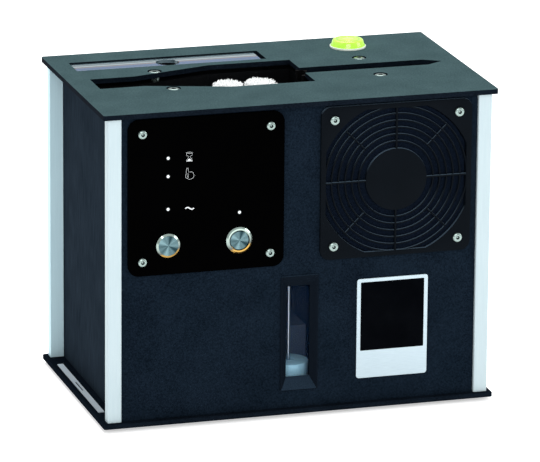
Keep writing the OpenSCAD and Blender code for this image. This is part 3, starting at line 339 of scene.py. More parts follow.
wear("rubber_feet", moulded("foot_rubber", tone(28, 28, 30), 0.75, 1400.0, 0.00012))
strip_tones = (tone(178, 190, 200), tone(216, 226, 232))
wear("base_strip", brushed("strip_metal", *strip_tones, 0.5, (1.0, 0.03, 1.0), metallic=0.3))

# ---- Corner posts ----
# Four extruded aluminium posts, brushed along their length and clear anodised.
# The two at the back look bluer; this is a painted bluish reflection in their colour.
post_metal = brushed(
    "post_metal",
    tone(174, 194, 200),
    tone(202, 215, 219),
    0.5,
    (1.0, 1.0, 0.012),
    metallic=0.2,
    # The rear tones paint a bluish reflection onto the back posts.
    rear=(tone(187, 218, 228), tone(215, 242, 250)),
)
edged("posts", "corner_posts", 0.4, post_metal)

# ---- Front, rear and side panels ----
# Sheets of the plates' dark laminate, cut to size and held between the posts.
# Those at the sides have a faint upright grain and a lighter tone, which is painted light.
panel_laminate = laminate("panel_laminate", tone(6, 12, 19), tone(25, 36, 48))
# The side panels' tones are lighter than the front's: painted light on the same laminate.
side_laminate_painted_light = laminate("side_laminate_painted_light", tone(22, 30, 38), tone(42, 52, 62), grain=(1.0, 1.0, 0.06))
wear("front_panel", panel_laminate)
wear("rear_panel", panel_laminate)
wear("side_panels", side_laminate_painted_light)

# ---- Water tank with rod, float, pump, valve and plug ----
# A milky moulded tank on the base plate, with a grey lid, a pump, a valve and a plug.
# The white float of closed foam, turned to shape, slides on a steel rod behind the window.
tank_milk = moulded(
    "tank_milk", tone(34, 50, 62), 0.4, 900.0, 0.00001, 0.05, Alpha=0.06, Specular_IOR_Level=0.1
)
rod_steel = brushed("rod_steel", tone(150, 168, 184), tone(214, 226, 234), 0.3, (1.0, 1.0, 0.02))
wear("tank", tank_milk)
wear("tank_lid", moulded("lid_grey", tone(52, 56, 60)))
wear("float_rod", rod_steel)
wear("pump", moulded("pump_case", tone(58, 78, 99), 0.5, 1500.0, 0.00006, 0.12))
wear("drain_valve", moulded("valve_grey", tone(128, 138, 144), 0.5, 1500.0, 0.00006, 0.12))
wear("drain_plug", moulded("plug_black", tone(20, 20, 22), 0.45))


def circle(work, radius, height, sides, aside=0.0, six_sided=False):
    """A ring of new points round the upright axis, or one point where radius is 0."""
    ring = []
    for step in range(sides if radius > 0 else 1):
        angle = 2 * math.pi * step / sides
        reach = radius
        if six_sided:
            reach *= math.cos(math.pi / 6) / math.cos(angle % (math.pi / 3) - math.pi / 6)
        ring.append(work.verts.new((reach * math.cos(angle) + aside, reach * math.sin(angle), height)))
    return ring


def loft(work, rings, caps=False):
    """Faces from ring to ring; a ring of one point is a tip, and caps close the first and last."""
    for low, high in zip(rings, rings[1:]):
        count = max(len(low), len(high))
        for step in range(count):
            after = (step + 1) % count
            corners = [low[step % len(low)], low[after % len(low)]]
            corners += [high[after % len(high)], high[step % len(high)]]
            work.faces.new(dict.fromkeys(corners))
    if caps:
        work.faces.new(reversed(rings[0]))
        work.faces.new(rings[-1])


def baked(work, name, outward=True):
    """The mesh of finished work; outward turns all its faces to the outside."""
    if outward:
        bmesh.ops.recalc_face_normals(work, faces=work.faces)
    mesh = bpy.data.meshes.new(name)
    work.to_mesh(mesh)
    work.free()
    return mesh


def lathe(profile, sides, place, loop=False):
    """Mesh of a profile of (radius, height) pairs turned about an upright axis through place.

    An open profile that starts off the axis keeps its faces as they are.
    """
    work = bmesh.new()
    rings = [circle(work, radius, height, sides) for radius, height in profile]
    loft(work, rings + rings[:1] if loop else rings)
    work.transform(Matrix.Scale(mm, 4) @ Matrix.Translation(place))
    return baked(work, "turned", outward=loop or profile[0][0] == 0)


rod_y = -63.6
float_bore, float_r, float_low, float_high = 2.2, 16.5, 23.5, 38.5
float_outline = [(float_bore, float_low), (float_r - 1.6, float_low), (float_r - 0.5, float_low + 0.4)]
float_outline += [(float_r, float_low + 1.5), (float_r, float_high - 1.5)]
float_outline += [(float_r - 0.4, float_high - 0.4), (float_r - 1.5, float_high)]
float_outline += [(5.2, float_high), (4.9, float_high - 0.4), (4.4, float_high - 0.4), (4.1, float_high)]
float_outline += [(float_bore, float_high)]
float_foam = moulded("float_foam", tone(168, 222, 246), 0.6, 1800.0, 0.00008, 0.05)
float_shell = lathe(float_outline, 64, (0.0, rod_y, 0.0), loop=True)
show("float_body", float_shell, float_foam, ["float"], "float")

# ---- Window of the tank ----
# A deep satin frame of moulded plastic round a pane with a blue tinge.
# The frame's lower slope faces up and is rougher; its colour is painted lighter, painted light from above.
bezel_plastic, at = finish("bezel_plastic", Specular_IOR_Level=0.008)
grit = specks(at, 1700.0, 3.0)
# Faces that look up, the lower slope, take a lighter tone: painted light.
slope = apart(at.node("ShaderNodeNewGeometry", out=3))[2] > 0.3
smooth_tone = shade(grit, tone(5, 9, 14), tone(20, 28, 38))
slope_painted_light = shade(grit, tone(2, 6, 11), tone(44, 60, 76))
feed(
    bezel_plastic,
    Base_Color=shade(slope, smooth_tone, slope_painted_light),
    Roughness=slope * 0.25 + 0.35,
    Normal=bumps(grit, 0.6, 0.0001),
)
edged("window_frame", "window_bezel", 0.3, bezel_plastic)
pane_glass, at = finish("pane_glass", Alpha=0.05, Base_Color=tone(14, 58, 108))
wipe = specks(at, 30.0)
feed(pane_glass, Roughness=wipe * 0.1 + 0.14, Normal=bumps(wipe, 0.02, 0.0002))
wear("sight_glass", pane_glass)

# ---- Washing trough, hose and filter ----
# A black moulded trough hangs under the top plate. A clear hose feeds the tray with the grey sponge,
# and a clear acrylic lid with a finger hole covers it.
trough_black = moulded("trough_black", tone(7, 8, 10), Specular_IOR_Level=0.04)
wear("wash_chamber", trough_black)
wear("filter_tray", trough_black)
wear("wiper_blades", moulded("wiper_rubber", tone(7, 7, 8), 0.6, Specular_IOR_Level=0.04))
wear("feed_hose", moulded("hose_clear", tone(190, 200, 206), 0.3, 900.0, 0.00003, 0.05, Alpha=0.6))


def porous(node, voxel, depth, pores):
    """A CAD foam block as a fine mesh whose surface sinks by depth at its pores, pores of them a metre."""
    holder = bpy.data.objects.new("work", merged(node))
    remesh = holder.modifiers.new("fine", "REMESH")
    remesh.mode = "VOXEL"
    remesh.voxel_size = voxel * mm
    fine = evaluated(holder)
    normals = [Vector(corner.vector) for corner in fine.vertex_normals]
    for point, normal in zip(fine.vertices, normals):
        nearest_pore = noise.voronoi(point.co * pores)[0][0]
        point.co -= normal * max(0.0, 1.0 - 2.2 * nearest_pore) * depth * mm
    return fine


def foam(name, dark, light, pores):
    """Open foam: lighter walls round small cells whose darkness is painted shade."""
    material, at = finish(name, Specular_IOR_Level=0.02)
    cells = at.node("ShaderNodeTexVoronoi", {"feature": "DISTANCE_TO_EDGE"}, {"Vector": at, "Scale": pores})
    # The ramp paints the sunk cells dark: painted shade in the pores.
    walls = ramp(cells, (0.0, (1.0, 1.0, 1.0, 1.0)), (0.35, (0.0, 0.0, 0.0, 1.0)))
    feed(
        material,
        Base_Color=shade(walls, dark, light),
        Roughness=specks(at, 600.0) * 0.1 + 0.85,
        Normal=bumps(walls, 0.6, 0.0003),
    )
    return material


sponge_foam = foam("sponge_foam", tone(34, 42, 54), tone(96, 110, 128), 900.0)
sponge_mesh = porous("filter_sponge", 1.0, 0.5, 420.0)
sponge = show("sponge_block", sponge_mesh, sponge_foam, ["filter_sponge"])
# The lid's colour is a painted reflection of the studio: streaks that lie a little aslant from its front edge
# to its rear edge.
lid_front, lid_deep, streak_x, slant = 44.8 * mm, 27.4 * mm, -70.0 * mm, -0.3
lid_acrylic, at = finish("lid_acrylic", Coat_Weight=0.5, Coat_Roughness=0.03, Roughness=0.08)
across = (apart(at)[1] - lid_front) / lid_deep + (apart(at)[0] - streak_x) * slant
lid_painted_reflection = ramp(
    across + specks(at, 40.0, 2.0, (0.1, 1.0, 1.0)) * 0.05 - 0.025,
    (0.02, tone(150, 172, 180)),
    (0.10, tone(62, 96, 140)),
    (0.46, tone(76, 112, 158)),
    (0.51, tone(176, 144, 128)),
    (0.55, tone(70, 92, 104)),
    (0.64, tone(190, 210, 216)),
    (0.72, tone(84, 104, 112)),
    (0.84, tone(130, 152, 160)),
    (0.97, tone(44, 58, 64)),
)
feed(lid_acrylic, Base_Color=lid_painted_reflection, Alpha=specks(at, 120.0, 2.0, (0.1, 1.0, 1.0)) * 0.2 + 0.66)
edged("clear_lid", "filter_lid", 0.3, lid_acrylic, "filter_lid")

# ---- Rollers with their spindles and drive ----
# Four acetal spindles in bronze bushes, geared to each other and to the motor under the trough.
# Each carries a sleeve of white microfibre pile, made of bent tufts that stand on the sleeve's core.
roller_x = {"left": -29.0, "right": -1.5}
roller_y = {"front": -15.6, "rear": 15.6}
rollers = [(row, side) for row in roller_y for side in roller_x]
acetal = moulded("acetal", tone(236, 232, 216), 0.4, 1500.0, 0.00003, 0.04)
for row, side in rollers:
    wear(f"spindle_{row}_{side}", acetal)
wear("transfer_gear", acetal)
wear("spindle_bushes", brushed("bronze", tone(176, 132, 78), tone(222, 180, 118), 0.35, (1.0, 1.0, 0.05)))
wear("motor_pinion", brushed("brass", tone(184, 150, 72), tone(226, 196, 112), 0.25, (1.0, 1.0, 0.05)))
wear("drive_motor", moulded("motor_can", tone(140, 144, 148), 0.35, 1200.0, 0.00003, 0.08, Metallic=0.8))


class Recipe:
    """A Geometry Nodes tree with named inputs, which run turns into a plain mesh."""

    def __init__(self, name, **sizes):
        self.group = bpy.data.node_groups.new(name, "GeometryNodeTree")
        sockets = self.group.interface
        sockets.new_socket("Geometry", in_out="OUTPUT", socket_type="NodeSocketGeometry")
        for title, kind in {"Geometry": "Geometry", "Material": "Material", **sizes}.items():
            sockets.new_socket(title, in_out="INPUT", socket_type="NodeSocket" + kind)
        self.first = self.group.nodes.new("NodeGroupInput")
        self.last = self.group.nodes.new("NodeGroupOutput")

    def size(self, title):
        return Wire(self.group, self.first.outputs[title])

    def close(self, shape):
        """Ends the tree in Realize Instances and Set Material."""
        real = shape.node("GeometryNodeRealizeInstances", {}, {"Geometry": shape})
        done = real.node("GeometryNodeSetMaterial", {}, {"Geometry": real, "Material": self.size("Material")})
        self.group.links.new(done.socket, self.last.inputs[0])

    def run(self, mesh, material, **sizes):
        """The mesh that the tree makes of this one."""
        holder = bpy.data.objects.new("work", mesh)
        recipe = holder.modifiers.new("recipe", "NODES")
        recipe.node_group = self.group
        values = {"Material": material, **sizes}
        for item in self.group.interface.items_tree:
            if item.in_out == "INPUT" and item.name in values:
                recipe[item.identifier] = values[item.name]
        return evaluated(holder)


tufts = Recipe(
    "tufts",
    Tuft="Object",
    Density="Float",
    Seed="Int",
    Lean="Float",
    Shortest="Float",
    Longest="Float",
    Crown="Float",
)
ground = tufts.size("Geometry")
seed = tufts.size("Seed")
roots = ground.node(
    "GeometryNodeDistributePointsOnFaces",
    {},
    {"Mesh": ground, "Density": tufts.size("Density"), "Seed": seed},
)
upright = Wire(tufts.group, roots.socket.node.outputs["Rotation"])
tuft_shape = ground.node("GeometryNodeObjectInfo", {}, {"Object": tufts.size("Tuft")}, out=4)
length = ground.node(
    "FunctionNodeRandomValue",
    {"data_type": "FLOAT"},
    {2: tufts.size("Shortest"), 3: tufts.size("Longest"), "Seed": seed},
    out=1,
)
# Above the height Crown the tufts are longer: there they touch no other roller.
on_crown = apart(ground.node("GeometryNodeInputPosition"))[2] > tufts.size("Crown")
planted = ground.node(
    "GeometryNodeInstanceOnPoints",
    {},
    {
        "Points": roots,
        "Instance": tuft_shape,
        "Rotation": upright,
        "Scale": length * (on_crown * 0.55 + 1.0),
    },
)
lean = tufts.size("Lean")
least = ground.node("ShaderNodeCombineXYZ", {}, {"X": lean * -1.0, "Y": lean * -1.0, "Z": 0.0})
most = ground.node("ShaderNodeCombineXYZ", {}, {"X": lean, "Y": lean, "Z": 2 * math.pi})
tilt = ground.node(
    "FunctionNodeRandomValue", {"data_type": "FLOAT_VECTOR"}, {0: least, 1: most, "Seed": seed + 7.0}
)
tufts.close(
    ground.node(
        "GeometryNodeRotateInstances", {}, {"Instances": planted, "Rotation": tilt, "Local Space": True}
    )
)


def tuft_mesh():
    """One bent tuft of pile: three sides, two lengths and a tip, 1 unit long."""
    work = bmesh.new()
    bends = ((0.30, -0.10, 0.0), (0.27, 0.50, 0.10), (0.16, 0.85, 0.28))
    rings = [circle(work, width, out, 3, aside) for width, out, aside in bends]
    loft(work, rings + [[work.verts.new((0.46, 0.0, 1.0))]])
    work.faces.new(reversed(rings[0]))
    return baked(work, "tuft")


def joined(*meshes):
    """One mesh of several."""
    work = bmesh.new()
    for mesh in meshes:
        work.from_mesh(mesh)
    return baked(work, "joined", outward=False)


pile, at = finish("pile", Specular_IOR_Level=0.2, Sheen_Weight=0.3, Sheen_Roughness=0.5)
fleece = specks(at, 500.0)
feed(pile, Base_Color=shade(fleece, tone(240, 243, 242), tone(255, 255, 255)), Roughness=fleece * 0.1 + 0.85)
tuft = bpy.data.objects.new("tuft", tuft_mesh())
bpy.context.scene.collection.objects.link(tuft)
skin_r, bore_r, sleeve_low, sleeve_high = 11.5, 7.4, 148.6, 251.6
skin_outline = [(skin_r - 1.0, sleeve_low + 0.4), (skin_r, sleeve_low + 1.6), (skin_r, sleeve_high - 2.8)]
skin_outline += [(skin_r - 0.5, sleeve_high - 1.9), (9.6, sleeve_high - 1.2)]
skin_outline += [(5.0, sleeve_high - 1.0), (0.0, sleeve_high - 0.9)]
core_outline = [(0.0, sleeve_high - 6.0), (bore_r, sleeve_high - 6.0), (bore_r, sleeve_low + 0.4)]
core_outline += skin_outline
for sleeve_seed, (row, side) in enumerate(rollers, 11):
    axis = (roller_x[side], roller_y[row], 0.0)
    fleecy = tufts.run(
        lathe(skin_outline, 40, axis),
        pile,
        Tuft=tuft,
        Density=0.9e6,
        Seed=sleeve_seed,
        Lean=0.8,
        Shortest=0.9 * mm,
        Longest=2.2 * mm,
        Crown=(sleeve_high - 2.5) * mm,
    )
    sleeve = f"sleeve_{row}_{side}"
    sleeve_mesh = joined(lathe(core_outline, 40, axis), fleecy)
    show(f"pile_{row}_{side}", sleeve_mesh, pile, [sleeve], sleeve, 60.0)
bpy.data.objects.remove(tuft)

# ---- Support wheels and sound transducers ----
# Two grooved acetal wheels on steel axles carry the record's edge.
# Two horns of turned metal sit on the trough and send sound into the water.
wear("support_wheel_left", acetal)
wear("support_wheel_right", acetal)
wear("support_axles", rod_steel)
wear("transducers", brushed("horn_metal", tone(168, 166, 158), tone(214, 212, 204), 0.3, (1.0, 0.05, 1.0)))

# ---- Fans, foams and grilles ----
# Two 120 mm fans of black plastic behind dust foams cut from dark blue sheet.
# Each grille is one moulded plate with a disc, rings and spokes.
fan_plastic = moulded("fan_plastic", tone(20, 22, 26), 0.45, Specular_IOR_Level=0.2)
for node in ("fan_frames", "fan_rotor_front", "fan_rotor_rear"):
    wear(node, fan_plastic)
blue_foam = foam("foam_blue", tone(2, 5, 9), tone(14, 22, 35), 1100.0)
pads = show("fan_pads", porous("fan_foams", 1.0, 0.35, 500.0), blue_foam, ["fan_foams"])
bars = Recipe(
    "bars",
    Rings="Int",
    First="Float",
    Pitch="Float",
    Width="Float",
    Depth="Float",
    Inner="Float",
    Outer="Float",
    Between="Float",
    Beyond="Float",
)
plate_in, bar_w, bar_d = bars.size("Geometry"), bars.size("Width"), bars.size("Depth")


def repeated(count, line, **how):
    """Copies of a line on one spot; how gives each its Rotation or Scale."""
    spots = plate_in.node("GeometryNodeMeshLine", {}, {"Count": count, "Offset": (0.0, 0.0, 0.0)})
    return plate_in.node("GeometryNodeInstanceOnPoints", {}, {"Points": spots, "Instance": line, **how})


def star(phase, inner, outer, count=4):
    """Straight lines from inner to outer, count of them round the middle."""
    ends = {
        "Start": plate_in.node("ShaderNodeCombineXYZ", {}, {"X": inner}),
        "End": plate_in.node("ShaderNodeCombineXYZ", {}, {"X": outer}),
    }
    line = plate_in.node("GeometryNodeCurvePrimitiveLine", {}, ends)
    angle = plate_in.node("GeometryNodeInputIndex") * (2 * math.pi / count) + phase
    return repeated(count, line, Rotation=plate_in.node("ShaderNodeCombineXYZ", {}, {"Z": angle}))


def together(*shapes):
    """Several shapes as one."""
    whole = shapes[0].node("GeometryNodeJoinGeometry", {}, {"Geometry": shapes[0]})
    for shape in shapes[1:]:
        whole.tree.links.new(shape.socket, whole.socket.node.inputs[0])
    return whole


def pressed(lines, width, depth, sink):
    """Bars with rounded edges along these lines, their faces sink below the plate's."""
    flat = plate_in.node("GeometryNodeRealizeInstances", {}, {"Geometry": lines})
    slab = plate_in.node("GeometryNodeCurvePrimitiveQuadrilateral", {}, {"Width": width, "Height": depth})
    section = plate_in.node(
        "GeometryNodeFilletCurve", {"mode": "POLY"}, {"Curve": slab, "Count": 2, "Radius": width * 0.3}
    )
    solid = plate_in.node(
        "GeometryNodeCurveToMesh", {}, {"Curve": flat, "Profile Curve": section, "Fill Caps": True}
    )
    lower = plate_in.node("ShaderNodeCombineXYZ", {}, {"Z": depth * -0.5 - sink})
    return plate_in.node("GeometryNodeTransform", {}, {"Geometry": solid, "Translation": lower})


hoop = plate_in.node("GeometryNodeCurvePrimitiveCircle", {}, {"Resolution": 96, "Radius": 1.0})
hoop_size = plate_in.node("GeometryNodeInputIndex") * bars.size("Pitch") + bars.size("First")
hoops = repeated(bars.size("Rings"), hoop, Scale=hoop_size)
short_spokes = star(math.pi / 4, bars.size("Between"), bars.size("Beyond"))
ribs = pressed(together(hoops, short_spokes), bar_w, bar_d, 0.5)
long_spokes = star(0.0, bars.size("Inner"), bars.size("Outer"))
beams = pressed(long_spokes, bar_w * 1.23, bar_d + 0.5, 0.0)
bars.close(together(plate_in, ribs, beams))


def rounded(width, height, radius, steps):
    """Outline of a rounded rectangle round the middle, with steps to a corner."""
    points = []
    for corner in range(4):
        middle_x = (width / 2 - radius) * (1, -1, -1, 1)[corner]
        middle_y = (height / 2 - radius) * (1, 1, -1, -1)[corner]
        for step in range(steps + 1):
            angle = math.pi / 2 * (corner + step / steps)
            points.append((middle_x + radius * math.cos(angle), middle_y + radius * math.sin(angle)))
    return points


def grille_mesh():
    """The grille's plate with its opening, and its disc, face up, with broken edges, in mm."""
    side, thick, disc_r, steps = 127.0, 2.5, 25.8, 12
    half, reach = 59.2, 64.5
    corner = math.acos(half / reach)
    opening = []
    for quarter in range(4):
        for step in range(steps + 1):
            angle = quarter * math.pi / 2 + corner + (math.pi / 2 - 2 * corner) * step / steps
            opening.append((reach * math.cos(angle), reach * math.sin(angle)))
    outer = rounded(side, side, 8.0, steps)
    work = bmesh.new()

    def wall(outline, height, inset):
        middle = 1.0 - inset / 62.0
        return [work.verts.new((x * middle, y * middle, height)) for x, y in outline]

    outer_edge = ((-thick, 0.0), (-0.45, 0.0), (-0.12, 0.15), (0.0, 0.5))
    mouth_edge = ((0.0, -0.45), (-0.12, -0.12), (-0.45, 0.0), (-thick, 0.0))
    walls = [wall(outer, *edge) for edge in outer_edge]
    walls += [wall(opening, *edge) for edge in mouth_edge]
    loft(work, walls + walls[:1])
    disc = [(0.0, -thick), (disc_r, -thick), (disc_r, -0.5)]
    disc += [(disc_r - 0.2, -0.15), (disc_r - 0.7, 0.0), (0.0, 0.25)]
    loft(work, [circle(work, radius, height, 72) for radius, height in disc])
    return baked(work, "grille")


def placed(mesh, place, facing):
    """Moves a mesh made in mm, face up, to its place on the front or the rear, in metres."""
    forward = Matrix.Rotation(math.pi / 2, 4, "X")
    turns = {"front": forward, "rear": Matrix.Rotation(math.pi, 4, "Z") @ forward}
    mesh.transform(Matrix.Scale(mm, 4) @ Matrix.Translation(place) @ turns[facing])
    return mesh


grille_plastic, at = finish("grille_plastic", Specular_IOR_Level=0.02)
grain = specks(at, 1900.0)
# Faces that look up are painted lighter: a painted highlight on the ring tops.
upward_face_highlight = apart(at.node("ShaderNodeNewGeometry", out=1))[2]
dull = shade(grain * 0.6 + specks(at, 40.0) * 0.4, tone(4, 7, 10), tone(15, 20, 26))
feed(
    grille_plastic,
    Base_Color=shade((upward_face_highlight - 0.25) * 2.0, dull, tone(74, 90, 104)),
    Roughness=grain * 0.2 + 0.36,
    Normal=bumps(grain, 0.4, 0.00008),
)
fan_x, fan_z, face_y = 79.8, 193.0, 95.5
for end, y in (("front", -face_y), ("rear", face_y)):
    grid = bars.run(
        grille_mesh(),
        grille_plastic,
        Rings=6,
        First=31.5,
        Pitch=5.7,
        Width=1.3,
        Depth=2.0,
        Inner=25.0,
        Outer=59.9,
        Between=37.2,
        Beyond=60.0,
    )
    placed(grid, (fan_x, y, fan_z), end)
    show(f"grille_{end}_moulding", grid, grille_plastic, [f"grille_{end}"])

# ---- Control plate with lamps, signs and board ----
# A gloss black plate with rounded corners and four frosted lamps; their board lies behind it.
# Three plain signs are printed on it in white.
console_gloss, at = finish("console_gloss", Specular_IOR_Level=0.004)
haze = specks(at, 26.0, 3.0)
feed(
    console_gloss,
    Base_Color=shade(specks(at, 2600.0) * haze, tone(0, 0, 0), tone(2, 2, 3)),
    Roughness=haze * 0.12 + 0.08,
    Normal=bumps(haze, 0.04, 0.001),
)
edged("control_face", "control_plate", 0.25, console_gloss)


def offsets(at, axes, middle):
    """How far a point lies from middle along two axes and in a straight line, as wires in metres."""
    one, other = (apart(at)[axis] - place * mm for axis, place in zip(axes, middle))
    return one, other, (one * one + other * other) ** 0.5


lamp_white, at = finish("lamp_white", Roughness=0.35, Emission_Strength=0.6)
nearest = None
for spot in ((-110.7, 224.0), (-110.7, 209.0), (-110.7, 182.0), (-51.5, 175.2)):
    radius = offsets(at, (0, 2), spot)[2] + specks(at, 2400.0) * 0.0002
    nearest = at.maths("MINIMUM", nearest, radius) if nearest else radius
glow = ramp(
    nearest * 500.0, (0.40, tone(250, 255, 255)), (0.60, tone(128, 136, 138)), (0.80, tone(16, 18, 19))
)
feed(lamp_white, Base_Color=glow, Emission_Color=glow)
wear("indicator_lenses", lamp_white)
sign_print, at = finish("sign_print", Specular_IOR_Level=0.2)
ink = specks(at, 4000.0)
feed(sign_print, Base_Color=shade(ink, tone(206, 212, 214), tone(245, 248, 248)), Roughness=ink * 0.2 + 0.5)


def sign(name, strokes, fills=()):
    """Printed lines and areas on the control plate, as one thin raised print."""
    work = bmesh.new()
    front, back = -95.50, -95.38

    def corner(x, y, z):
        return work.verts.new((x * mm, y * mm, z * mm))

    for line, width in strokes:
        rings = []
        for step, (x, z) in enumerate(line):
            before, after = line[max(step - 1, 0)], line[min(step + 1, len(line) - 1)]
            run_x, run_z = after[0] - before[0], after[1] - before[1]
            part = width / 2 / math.hypot(run_x, run_z)
            x0, z0, x1, z1 = x - run_z * part, z + run_x * part, x + run_z * part, z - run_x * part
            ring = ((x0, front, z0), (x1, front, z1), (x1, back, z1), (x0, back, z0))
            rings.append([corner(*place) for place in ring])
        loft(work, rings, caps=True)
    for outline in fills:
        loft(work, [[corner(x, y, z) for x, z in outline] for y in (front, back)], caps=True)
    show(name, baked(work, name), sign_print, angle=20.0)


def bow(middle_x, middle_z, radius_x, radius_z, start, end, steps):
    """Points of an arc, angles in degrees."""
    angles = [math.radians(start + (end - start) * step / steps) for step in range(steps + 1)]
    return [(middle_x + radius_x * math.cos(a), middle_z + radius_z * math.sin(a)) for a in angles]


fine_line = 0.16
x, z = -93.2, 223.9
glass_left = bow(x - 2.08, z + 2.08, 0.32, 1.28, 90, 200, 4)
glass_left += [(x - 0.4, z + 0.08), (x - 2.0, z - 1.92), (x - 2.32, z - 3.36)]
glass_right = [(2 * x - left, height) for left, height in glass_left]
glass_rim = bow(x, z + 3.28, 2.4, 0.6, 0, 360, 20)
glass_foot = [(x - 2.56, z - 3.44), (x + 2.56, z - 3.44)]
sand_heap = [(x - 1.68, z - 3.04), (x + 1.68, z - 3.04), (x + 1.04, z - 2.08), (x, z - 1.36)]
sand_heap += [(x - 1.04, z - 2.08)]
glass_lines = [(line, fine_line) for line in (glass_left, glass_right, glass_rim)]
sign("sign_hourglass", glass_lines + [(glass_foot, 0.4)], [sand_heap])
x, z = -93.0, 210.0
palm = bow(x + 0.2, z - 1.6, 3.5, 3.0, 150, 390, 16)
finger = [palm[0], (x - 2.7, z + 1.6), (x - 2.5, z + 4.0)] + bow(x - 1.8, z + 4.1, 0.7, 0.8, 180, 0, 6)
finger += [(x - 0.6, z + 1.2), (x + 1.4, z + 1.5), (x + 3.0, z + 0.9), palm[-1]]
folds = [bow(x - 2.2, z - 0.4 - 1.3 * step, 1.3, 0.65, -80, 80, 6) for step in range(3)]
sign("sign_hand", [(palm, fine_line), (finger, fine_line)] + [(fold, 0.14) for fold in folds])
x, z, wave_w, wave_h, wave_steps = -92.8, 181.5, 7.2, 0.85, 18
parts = [step / wave_steps for step in range(wave_steps + 1)]
wave = [(x + (part - 0.5) * wave_w, z + math.sin(part * 2 * math.pi) * wave_h) for part in parts]
sign("sign_wave", [(wave, 0.95)])
wear("control_board", moulded("board_mask", tone(22, 92, 54), 0.3, 1800.0, 0.00004, 0.2))
wear("start_switch", moulded("switch_black", tone(16, 16, 18), 0.45))


# ---- Push buttons ----
# Turned steel caps whose faces keep the fine rings of the tool.
# A polished ring lies round the right one.
def spun_face(name, middle, rim):
    """Steel turned about the button's axis: fine rings on the face inside rim, polished outside it; its
    colour holds painted highlights and a painted warm reflection.
    """
    material, at = finish(name, Metallic=1.0)
    off_x, off_z, radius = offsets(at, (0, 2), middle)
    inside = radius < rim * mm
    rings = at.node(
        "ShaderNodeTexNoise",
        {"noise_dimensions": "1D"},
        {"W": radius * 9000.0, "Scale": 1.0, "Detail": 1.0},
    )
    angle = at.maths("ARCTAN2", off_z, off_x)
    # Bright fans round the face and a lighter left side are painted highlights.
    painted_fan_highlights = at.maths("SINE", angle * 3.0 + 0.4) * 0.22 + at.maths("SINE", angle * 7.0 + 2.0) * 0.14
    face = shade(painted_fan_highlights + off_x * -12.0 + rings * 0.3 + 0.2, tone(36, 59, 65), tone(138, 172, 178))
    # The rim is painted warm at the bottom and light at the top left: a painted reflection and a painted
    # highlight.
    warm_painted_reflection = tone(200, 160, 84)
    edge = ramp(
        off_z * 50.0 + off_x * -14.0 + 0.5,
        (0.0, warm_painted_reflection),
        (0.16, warm_painted_reflection),
        (0.26, tone(96, 102, 98)),
        (0.5, tone(150, 166, 160)),
        (1.0, tone(186, 206, 196)),
    )
    feed(
        material,
        Base_Color=shade(inside, edge, face),
        Roughness=inside * 0.24 + 0.12,
        Normal=bumps(rings * inside, 0.5, 0.00004),
    )
    return material


button_z = 152.1
wear("start_button", spun_face("start_steel", (-110.7, button_z), 8.2))
select_steel = spun_face("select_steel", (-51.6, button_z), 7.9)
wear("select_button", select_steel)
wear("select_bezel", select_steel)

# ---- Silver plate ----
# A brushed satin plate with a raised bright edge.
# The edge frames a plain field of gloss black.
badge_satin = brushed("badge_satin", tone(166, 185, 194), tone(208, 223, 230), 0.42, (0.05, 1.0, 1.0))
edged("silver_plate", "badge_plate", 0.35, badge_satin, rounds=3)
field_black, at = finish("field_black", Specular_IOR_Level=0.006)
rub = specks(at, 60.0, 3.0)
feed(
    field_black,
    Base_Color=shade(specks(at, 2400.0) * rub, tone(1, 2, 4), tone(12, 14, 18)),
    Roughness=rub * 0.2 + 0.15,
)
field_x0, field_x1, field_z0, field_z1, field_y = 51.6, 105.4, 50.3, 108.0, -94.2
field = bmesh.new()
outline = rounded(field_x1 - field_x0, field_z1 - field_z0, 0.6, 4)
layers = []
for height, inset in ((0.0, 0.0), (0.04, 0.0), (0.07, 0.05)):
    inner = [(x * (1 - inset / 27), y * (1 - inset / 29)) for x, y in outline]
    layers.append([field.verts.new((x, y, height)) for x, y in inner])
loft(field, layers, caps=True)
field_middle = ((field_x0 + field_x1) / 2, field_y, (field_z0 + field_z1) / 2)
show("plate_field", placed(baked(field, "field"), field_middle, "front"), field_black)

# ---- Power inlet and rocker ----
# A moulded inlet in the rear panel with a round socket.
# The mains rocker above it is of glossier black plastic.
wear("power_inlet", moulded("inlet_plastic", tone(17, 18, 20), 0.4))
rocker_plastic, at = finish("rocker_plastic", Specular_IOR_Level=0.4)
grain = specks(at, 2000.0)
feed(
    rocker_plastic,
    Base_Color=shade(grain, tone(12, 12, 13), tone(26, 27, 29)),
    Roughness=grain * 0.15 + 0.25,
    Normal=bumps(grain, 0.3, 0.00004),
)
wear("power_rocker", rocker_plastic)

# ---- Screws ----
# Polished pan heads with a six-sided socket on the control plate, the grilles and the top plate.
# The four on top each clamp a bright round spacer between the top plate and the trough.
screws = Recipe("screws", Screw="Object", Turn="Vector", Seed="Int")
seats = screws.size("Geometry")
spots = seats.node("GeometryNodeMeshToPoints", {}, {"Mesh": seats})
screw_shape = seats.node("GeometryNodeObjectInfo", {}, {"Object": screws.size("Screw")}, out=4)
driven = seats.node(
    "GeometryNodeInstanceOnPoints",
    {},
    {"Points": spots, "Instance": screw_shape, "Rotation": screws.size("Turn")},
)
spin = seats.node(
    "FunctionNodeRandomValue",
    {"data_type": "FLOAT_VECTOR"},
    {0: (0.0, 0.0, 0.0), 1: (0.0, 0.0, math.pi / 3), "Seed": screws.size("Seed")},
)
screws.close(
    seats.node(
        "GeometryNodeRotateInstances", {}, {"Instances": driven, "Rotation": spin, "Local Space": True}
    )
)


